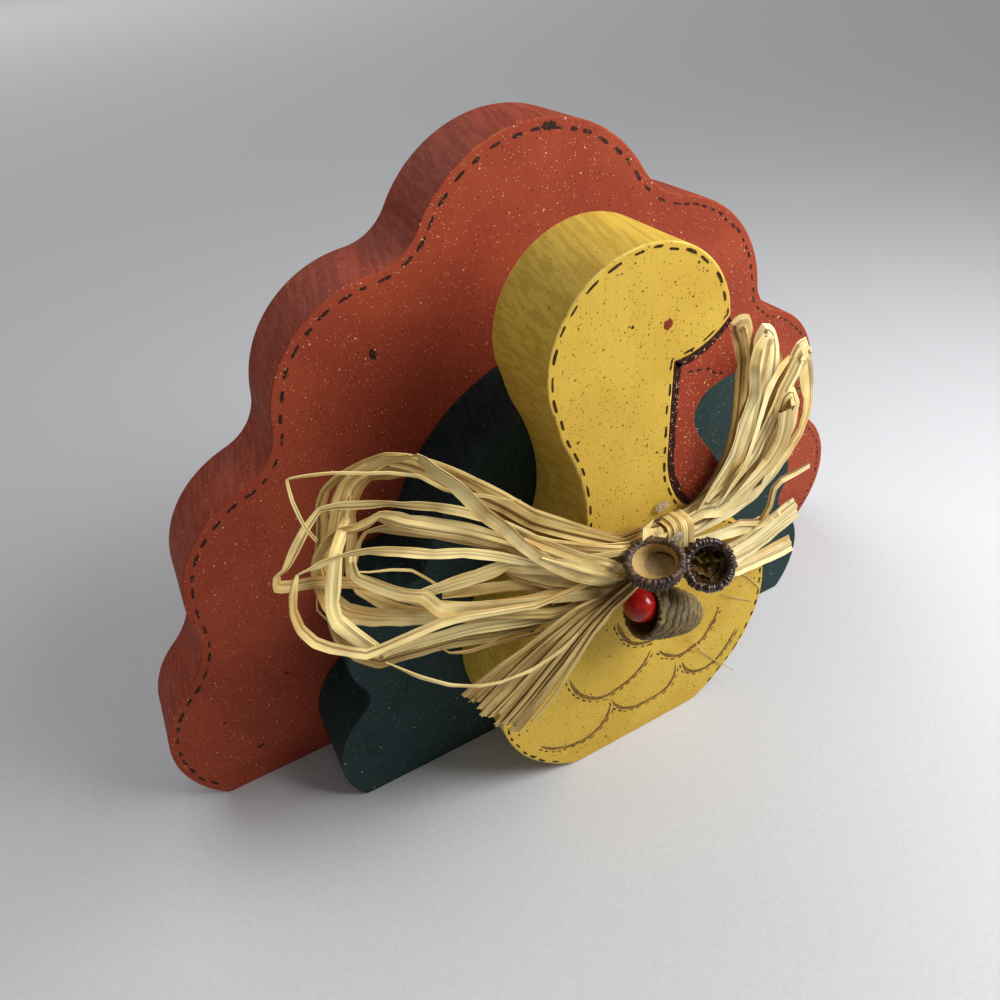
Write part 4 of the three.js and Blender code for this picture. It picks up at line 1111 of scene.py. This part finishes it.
def add_fan(name, ends, root, seed, rise, bow):
    """Cut ends that lie side by side, each split into narrow strips."""
    rng = np.random.default_rng(seed)
    for layer, (width, points) in enumerate(ends):
        count = max(1, round(width / END_WIDTH))
        strips = []
        for k in range(count):
            beside_by = ((k + 0.5) / count - 0.5) * width
            line = np.array([*root, *points], float)
            away = line[-1] - line[-2]
            away /= np.linalg.norm(away)
            spread = np.linspace(0, 1, len(line))[:, None] ** END_SPREAD
            line = line + np.array([-away[1], away[0]]) * beside_by * spread
            line[-1] += away * rng.uniform(*END_STRAY)
            rise_by = rng.uniform(-END_LIFT, END_LIFT)
            route = [(x, lift_at(layer, rise, bow, x, z) + rise_by * s, z)
                     for (x, z), s in zip(line, spread[:, 0])]
            strips.append(strip(route, width / count * END_OVERLAP, seed + layer * 10 + k, False,
                                END_LEAN, END_BLEND, END_ROOT, END_CUT))
        node = f"{name}_{layer + 1}"
        # The fanned ends take the darker straw: painted shade
        add_straw(node + "_straw", strips, seed + layer, node, material=SHADED_STRAW)


# Back layers take the darker straw, painted shade; the right loops and right ends otherwise take the lighter
# straw, painted light
add_strands("raffia_loop_left", LEFT_LOOPS, LEFT_ROOT, LEFT_RETURN, 100, shaded_layers=4)
add_strands("raffia_loop_right", RIGHT_LOOPS, RIGHT_ROOT, RIGHT_RETURN, 200, shaded_layers=1, unshaded_tone=LIT_STRAW)
add_fan("raffia_tail_left", LEFT_ENDS, LEFT_END_ROOT, 300, *LEFT_END_LIE)
right_ends = [(width, RIGHT_END_BOW, points) for width, points in RIGHT_ENDS]
add_strands("raffia_tail_right", right_ends, RIGHT_END_ROOT, (), 400, RIGHT_END_RISE, RIGHT_END_LEAN,
            unshaded_tone=LIT_STRAW)
for order, (name, (width, route)) in enumerate(LOOSE.items()):
    made = strip(route, width, 500 + order, False, LOOSE_LEAN, LOOSE_BLEND, width * LOOSE_ROOT, width / 2)
    add_straw(name, [made], 500 + order, material=TONES.get(name, STRAW))

# Wraps of the knot: share of the band's width, slant, width and how far each lies outside the one below
WRAPS = ((-0.34, 0.5, 2.6, 0.0), (0.3, -0.6, 2.9, 0.05), (-0.05, 0.9, 2.5, 0.3), (0.12, -0.3, 1.3, 0.55))
WRAP_STEPS = 96
WRAP_SUNK = 0.25
WRAP_CREASE = 0.4
WRAP_SQUARE = 4
WRAP_FOLD = (0.75, 0.25)


def add_wraps():
    low, high = box_mm("raffia_knot_band")
    span_x = high.x - low.x
    mid_y, mid_z = (low.y + high.y) / 2, (low.z + high.z) / 2
    turns = 2 * math.pi * np.arange(WRAP_STEPS) / WRAP_STEPS
    c, s = np.cos(turns), np.sin(turns)
    bulge = (abs(c) ** WRAP_SQUARE + abs(s) ** WRAP_SQUARE) ** (-1 / WRAP_SQUARE)
    strips = []
    for number, (share, slant, width, out) in enumerate(WRAPS):
        half_y = (high.y - low.y) / 2 + out - WRAP_SUNK
        half_z = (high.z - low.z) / 2 + out - WRAP_SUNK
        rng = np.random.default_rng(600 + number)
        middle = np.stack([(low.x + high.x) / 2 + share * span_x + slant * s, mid_y + half_y * c * bulge,
                           mid_z + half_z * s * bulge], 1)
        steep = WRAP_SQUARE - 1
        outward = unit(np.stack([0 * c, c ** steep / half_y, s ** steep / half_z], 1))
        lie = np.tile(np.linspace(-0.5, 0.5, RAFFIA_FOLDS) * width, (WRAP_STEPS, 1))
        creased = WRAP_FOLD[0] + WRAP_FOLD[1] * c
        heights = rng.uniform(-WRAP_CREASE, WRAP_CREASE, RAFFIA_FOLDS) * creased[:, None]
        rows = middle[:, None] + outward[:, None] * heights[:, :, None]
        rows[:, :, 0] += lie
        strips.append((rows, outward, turns * half_z, lie))
    add_straw("raffia_knot", strips, 600, "raffia_knot_band", True)


add_wraps()


# Acorn caps

CAP_TURNS = 176
CAP_RISE = 60
CAP_LIP = 8
CAP_BOWL = 30
WALL_SHARE = 0.6
SCAR = 0.68
WELD = 0.002
# How near the mouth a corner of the frame's cap counts as its lip
LIP_REACH = 0.7
# Scales: crowding towards the stalk, stray, roundness, height from root to tip, and chance of each
SCALE_CROWD = 0.85
SCALE_STRAY = 0.25
SCALE_ROUND = 1.7
SCALE_RISE = (0.35, 0.65)
SCALE_CHANCE = (0.8, 0.35)
SCALE_LEVEL = 0.75
STALK_FADE = 4
# Waves of the ridges: size, spread round the cap and along it; waves of the shell: size and spread
RIDGE_WAVES = ((2.6, 2.2, 4), (1.2, 6, 9))
SHELL_WAVE = (0.16, 3)
# Bites out of the lip: spread, and how much they change its radius, height and tone
BITE_SPREAD = 9
BITE_RADIUS = 0.3
BITE_HEIGHT = 0.7
BITE_TONE = 0.4
# Bowl: share of the lip that its depth leaves out, share of its wall in the depth, grit's spread and tone
BOWL_LIP = 0.75
BOWL_WALL = 0.9
BOWL_FLOOR = 0.1
GRIT_SPREAD = 0.9
BOWL_TONE = 0.6


def ring_noise(turn, spread, height):
    return noise.noise(Vector((math.cos(turn) * spread, math.sin(turn) * spread, height)))


def scales(turn, share, rows, around, seed):
    """Height of overlapping scales, from 0 to 1; share runs from the stalk to the lip."""
    row = share ** SCALE_CROWD * rows
    cell = turn / (2 * math.pi) * around + 0.5 * (math.floor(row) % 2)
    cell += SCALE_STRAY * ring_noise(turn, 2, row + seed)
    side = abs(cell - math.floor(cell) - 0.5) * 2
    chance = noise.cell(Vector((math.floor(cell) + 0.5, math.floor(row) + 0.5, seed)))
    rise = SCALE_RISE[0] + SCALE_RISE[1] * (row - math.floor(row))
    return max(0.0, 1 - side ** SCALE_ROUND) * rise * (SCALE_CHANCE[0] + SCALE_CHANCE[1] * chance)


def ridges(turn, share, rows, around, seed):
    """Height of wavy ridges that wind round the cap, from 0 to 1."""
    stray = sum(size * ring_noise(turn, spread, share * along + seed) for size, spread, along in RIDGE_WAVES)
    return 0.5 + 0.5 * math.sin(2 * math.pi * rows * share + around * turn + stray)


def turned_faces(turns, rows):
    """Faces of a grid of points that closes round an axis."""
    faces = []
    for a in range(turns):
        b = (a + 1) % turns
        for k in range(rows - 1):
            faces.append((a * rows + k, b * rows + k, b * rows + k + 1, a * rows + k + 1))
    return faces


def add_cap(name, node, material, seed, mouth, rim, pattern, rows, around, high_scales, grit, hollow,
            scar_to=(0, 0, 0), size=1.0, look=None, longer=0.0, full=1.0):
    """Acorn cap in place of the frame's cap, whose mouth looks one way and may be turned to look another.

    rim is the thickness of its lip, grit the roughness of its bowl, hollow the bowl's share of the depth and
    scar_to where its inner scar lies; it may also be longer or fuller."""
    way = Vector(mouth).normalized()
    corners = [v.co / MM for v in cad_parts[node].data.vertices]
    high = max(c.dot(way) for c in corners)
    depth = high - min(c.dot(way) for c in corners)
    edge = [c for c in corners if high - c.dot(way) < LIP_REACH]
    middle = sum(edge, Vector()) / len(edge)
    centre = middle - way * (middle.dot(way) - high)
    radius = max((c - centre - way * (c - centre).dot(way)).length for c in corners)
    radius *= size
    if look:
        pivot = centre - way * depth / 2
        way = Vector(look).normalized()
        centre = pivot + way * depth / 2
    depth += longer
    spin = way.to_track_quat("Z", "Y").to_matrix()
    aside = spin.transposed() @ Vector(scar_to)
    points, tops, bowls = [], [], []
    profile = CAP_RISE + CAP_LIP + CAP_BOWL

    def outside(turn, share):
        t = share * math.pi / 2
        lump = pattern(turn, share, rows, around, seed)
        rise = high_scales * (lump - SCALE_LEVEL) * min(1, share * STALK_FADE)
        rise += SHELL_WAVE[0] * ring_noise(turn, SHELL_WAVE[1], share * rows + seed)
        return (radius + rise) * math.sin(t) ** full, -(depth + rise) * math.cos(t), lump

    def lip(turn, share):
        t = share * math.pi
        bite = ring_noise(turn, BITE_SPREAD, seed + 3.0)
        r = radius - rim / 2 + rim / 2 * math.cos(t) + BITE_RADIUS * bite
        return r, 0.5 * rim * math.sin(t) * (1 + BITE_HEIGHT * bite), BITE_TONE + BITE_TONE * bite

    def bowl(turn, share):
        inner, deep = radius - rim, (depth - rim * BOWL_LIP) * hollow
        down = min(1.0, share / WALL_SHARE)
        flat = max(0.0, share - WALL_SHARE) / (1 - WALL_SHARE)
        r = inner * (1 - (1 - SCAR) * down) * (1 - flat)
        lump = grit * ring_noise(turn, r * GRIT_SPREAD, seed + 9.0) * down
        fall = BOWL_WALL * math.sin(down * math.pi / 2) + BOWL_FLOOR * flat
        return r, -deep * fall + lump, BOWL_TONE

    for a in range(CAP_TURNS):
        turn = 2 * math.pi * a / CAP_TURNS
        for k in range(profile):
            shift, inside = 0.0, 0.0
            if k < CAP_RISE:
                r, h, top = outside(turn, k / (CAP_RISE - 1))
            elif k < CAP_RISE + CAP_LIP:
                r, h, top = lip(turn, (k - CAP_RISE + 1) / (CAP_LIP + 1))
            else:
                share = (k - CAP_RISE - CAP_LIP + 1) / CAP_BOWL
                r, h, top = bowl(turn, share)
                shift = min(1.0, share / WALL_SHARE)
                inside = 0.5 if share < WALL_SHARE else 1.0
            local = Vector((r * math.cos(turn) + aside.x * shift, r * math.sin(turn) + aside.y * shift, h))
            points.append(centre + spin @ local)
            tops.append(top)
            bowls.append(inside)
    piece = add_piece(name, points, turned_faces(CAP_TURNS, profile), material, (node,))
    store(piece, "scale", "FLOAT", tops)
    store(piece, "bowl", "FLOAT", bowls)
    close_poles(piece)


def close_poles(piece):
    """Welds the points that meet on a turned piece's axis and closes what is left open."""
    bm = bmesh.new()
    bm.from_mesh(piece.data)
    bmesh.ops.remove_doubles(bm, verts=bm.verts, dist=WELD * MM)
    bmesh.ops.holes_fill(bm, edges=[e for e in bm.edges if e.is_boundary], sides=0)
    bmesh.ops.recalc_face_normals(bm, faces=bm.faces)
    bm.to_mesh(piece.data)
    bm.free()


add_cap("acorn_cup", "acorn_cap_cup", CUP_SHELL, 1, mouth=(-0.3, -0.4, 0.87), rim=1.6,
        pattern=scales, rows=8, around=44, high_scales=0.65, grit=0.2, hollow=0.75, scar_to=(1.8, 1.0, 0.8),
        size=0.95, look=(-0.17, -0.06, 0.98))
add_cap("acorn_dark", "acorn_cap_dark", DARK_SHELL, 2, mouth=(-0.3, -0.75, 0.59), rim=2.0,
        pattern=scales, rows=5, around=19, high_scales=1.2, grit=2.6, hollow=0.5)
add_cap("acorn_lying", "acorn_cap_lying", TAUPE_SHELL, 3, mouth=(-0.88, 0.1, 0.46), rim=1.1,
        pattern=ridges, rows=11, around=5, high_scales=0.5, grit=0.3, hollow=0.4, longer=2.6, full=0.75)


# Berry and glue

LUMP_TURNS = 72
LUMP_RINGS = 40
LUMP_WAVE = 1.7


def add_lump(name, node, material, seed, rough, grow):
    """A rounded lump that fills a little more than a node's box, uneven all over."""
    low, high = box_mm(node)
    centre, half = (low + high) / 2, (high - low) / 2 * grow
    points = []
    for a in range(LUMP_TURNS):
        turn = 2 * math.pi * a / LUMP_TURNS
        for k in range(LUMP_RINGS + 1):
            t = math.pi * k / LUMP_RINGS
            way = Vector((math.sin(t) * math.cos(turn), math.sin(t) * math.sin(turn), math.cos(t)))
            size = 1 + rough * noise.noise(way * LUMP_WAVE + Vector((seed, 0, 0)))
            points.append(centre + Vector(c * h * size for c, h in zip(way, half)))
    faces = turned_faces(LUMP_TURNS, LUMP_RINGS + 1)
    close_poles(add_piece(name, points, faces, material, (node,)))


add_lump("red_berry", "berry", BERRY, 1.0, 0.02, 1.03)
add_lump("glue_neck", "glue_dab_neck", GLUE, 2.0, 0.1, 1.45)
add_lump("glue_knot", "glue_dab_knot", GLUE, 3.0, 0.1, 1.25)
finish_node("bow_glue_pad", GLUE)


# Floor, light and camera

# Floor in metres; lights: place, size, power in watts and aim
FLOOR_HALF = 12.0
KEY_LIGHT = ((0.22, -0.18, 0.3), 0.22, 1.85, (0, 0, 0.08))
BACK_LIGHT = ((-1.0, 3.5, 3.0), 4.0, 108.0, (-0.8, 2.5, 0))
WORLD_LIGHT = 0.19


def add_floor():
    f = Finish("pale_cloth")
    weave = f.noise(0.8, 4.0)
    f.bump(weave, 0.1, 0.4)
    cloth = f.done(f.mix(weave, rgb("c4c5c8"), rgb("d2d3d5")), 0.9)
    bm = bmesh.new()
    bmesh.ops.create_grid(bm, x_segments=8, y_segments=8, size=FLOOR_HALF)
    mesh = bpy.data.meshes.new("floor")
    bm.to_mesh(mesh)
    bm.free()
    floor = add_object("floor", mesh, cloth)


def add_light(name, place, size, power, aim):
    lamp = bpy.data.lights.new(name, "AREA")
    lamp.size = size
    lamp.energy = power
    light = bpy.data.objects.new(name, lamp)
    light.location = place
    light.rotation_euler = (Vector(aim) - Vector(place)).to_track_quat("-Z", "Y").to_euler()
    bpy.context.scene.collection.objects.link(light)


def add_world(strength):
    world = bpy.data.worlds.new("studio")
    world.use_nodes = True
    sky = world.node_tree.nodes["Background"].inputs
    sky["Color"].default_value = (1, 1, 1, 1)
    sky["Strength"].default_value = strength
    bpy.context.scene.world = world


def add_camera():
    a, e, roll = (math.radians(v) for v in (CAMERA_TURN, CAMERA_RISE, CAMERA_ROLL))
    back = Vector((math.sin(a) * math.cos(e), -math.cos(a) * math.cos(e), math.sin(e)))
    right = Vector((math.cos(a), math.sin(a), 0))
    up = back.cross(right)
    turned_right = right * math.cos(roll) + up * math.sin(roll)
    turned_up = up * math.cos(roll) - right * math.sin(roll)
    data = bpy.data.cameras.new("camera")
    data.lens = CAMERA_LENS
    data.sensor_width = 36.0
    data.clip_start = 0.01
    camera = bpy.data.objects.new("camera", data)
    axes = Matrix((turned_right, turned_up, back)).transposed().to_4x4()
    camera.matrix_world = Matrix.Translation(Vector(CAMERA_AT) * MM) @ axes
    bpy.context.scene.collection.objects.link(camera)
    bpy.context.scene.camera = camera


add_floor()
add_light("key", *KEY_LIGHT)
add_light("back", *BACK_LIGHT)
add_world(WORLD_LIGHT)
add_camera()
bpy.context.scene.view_settings.view_transform = "Standard"
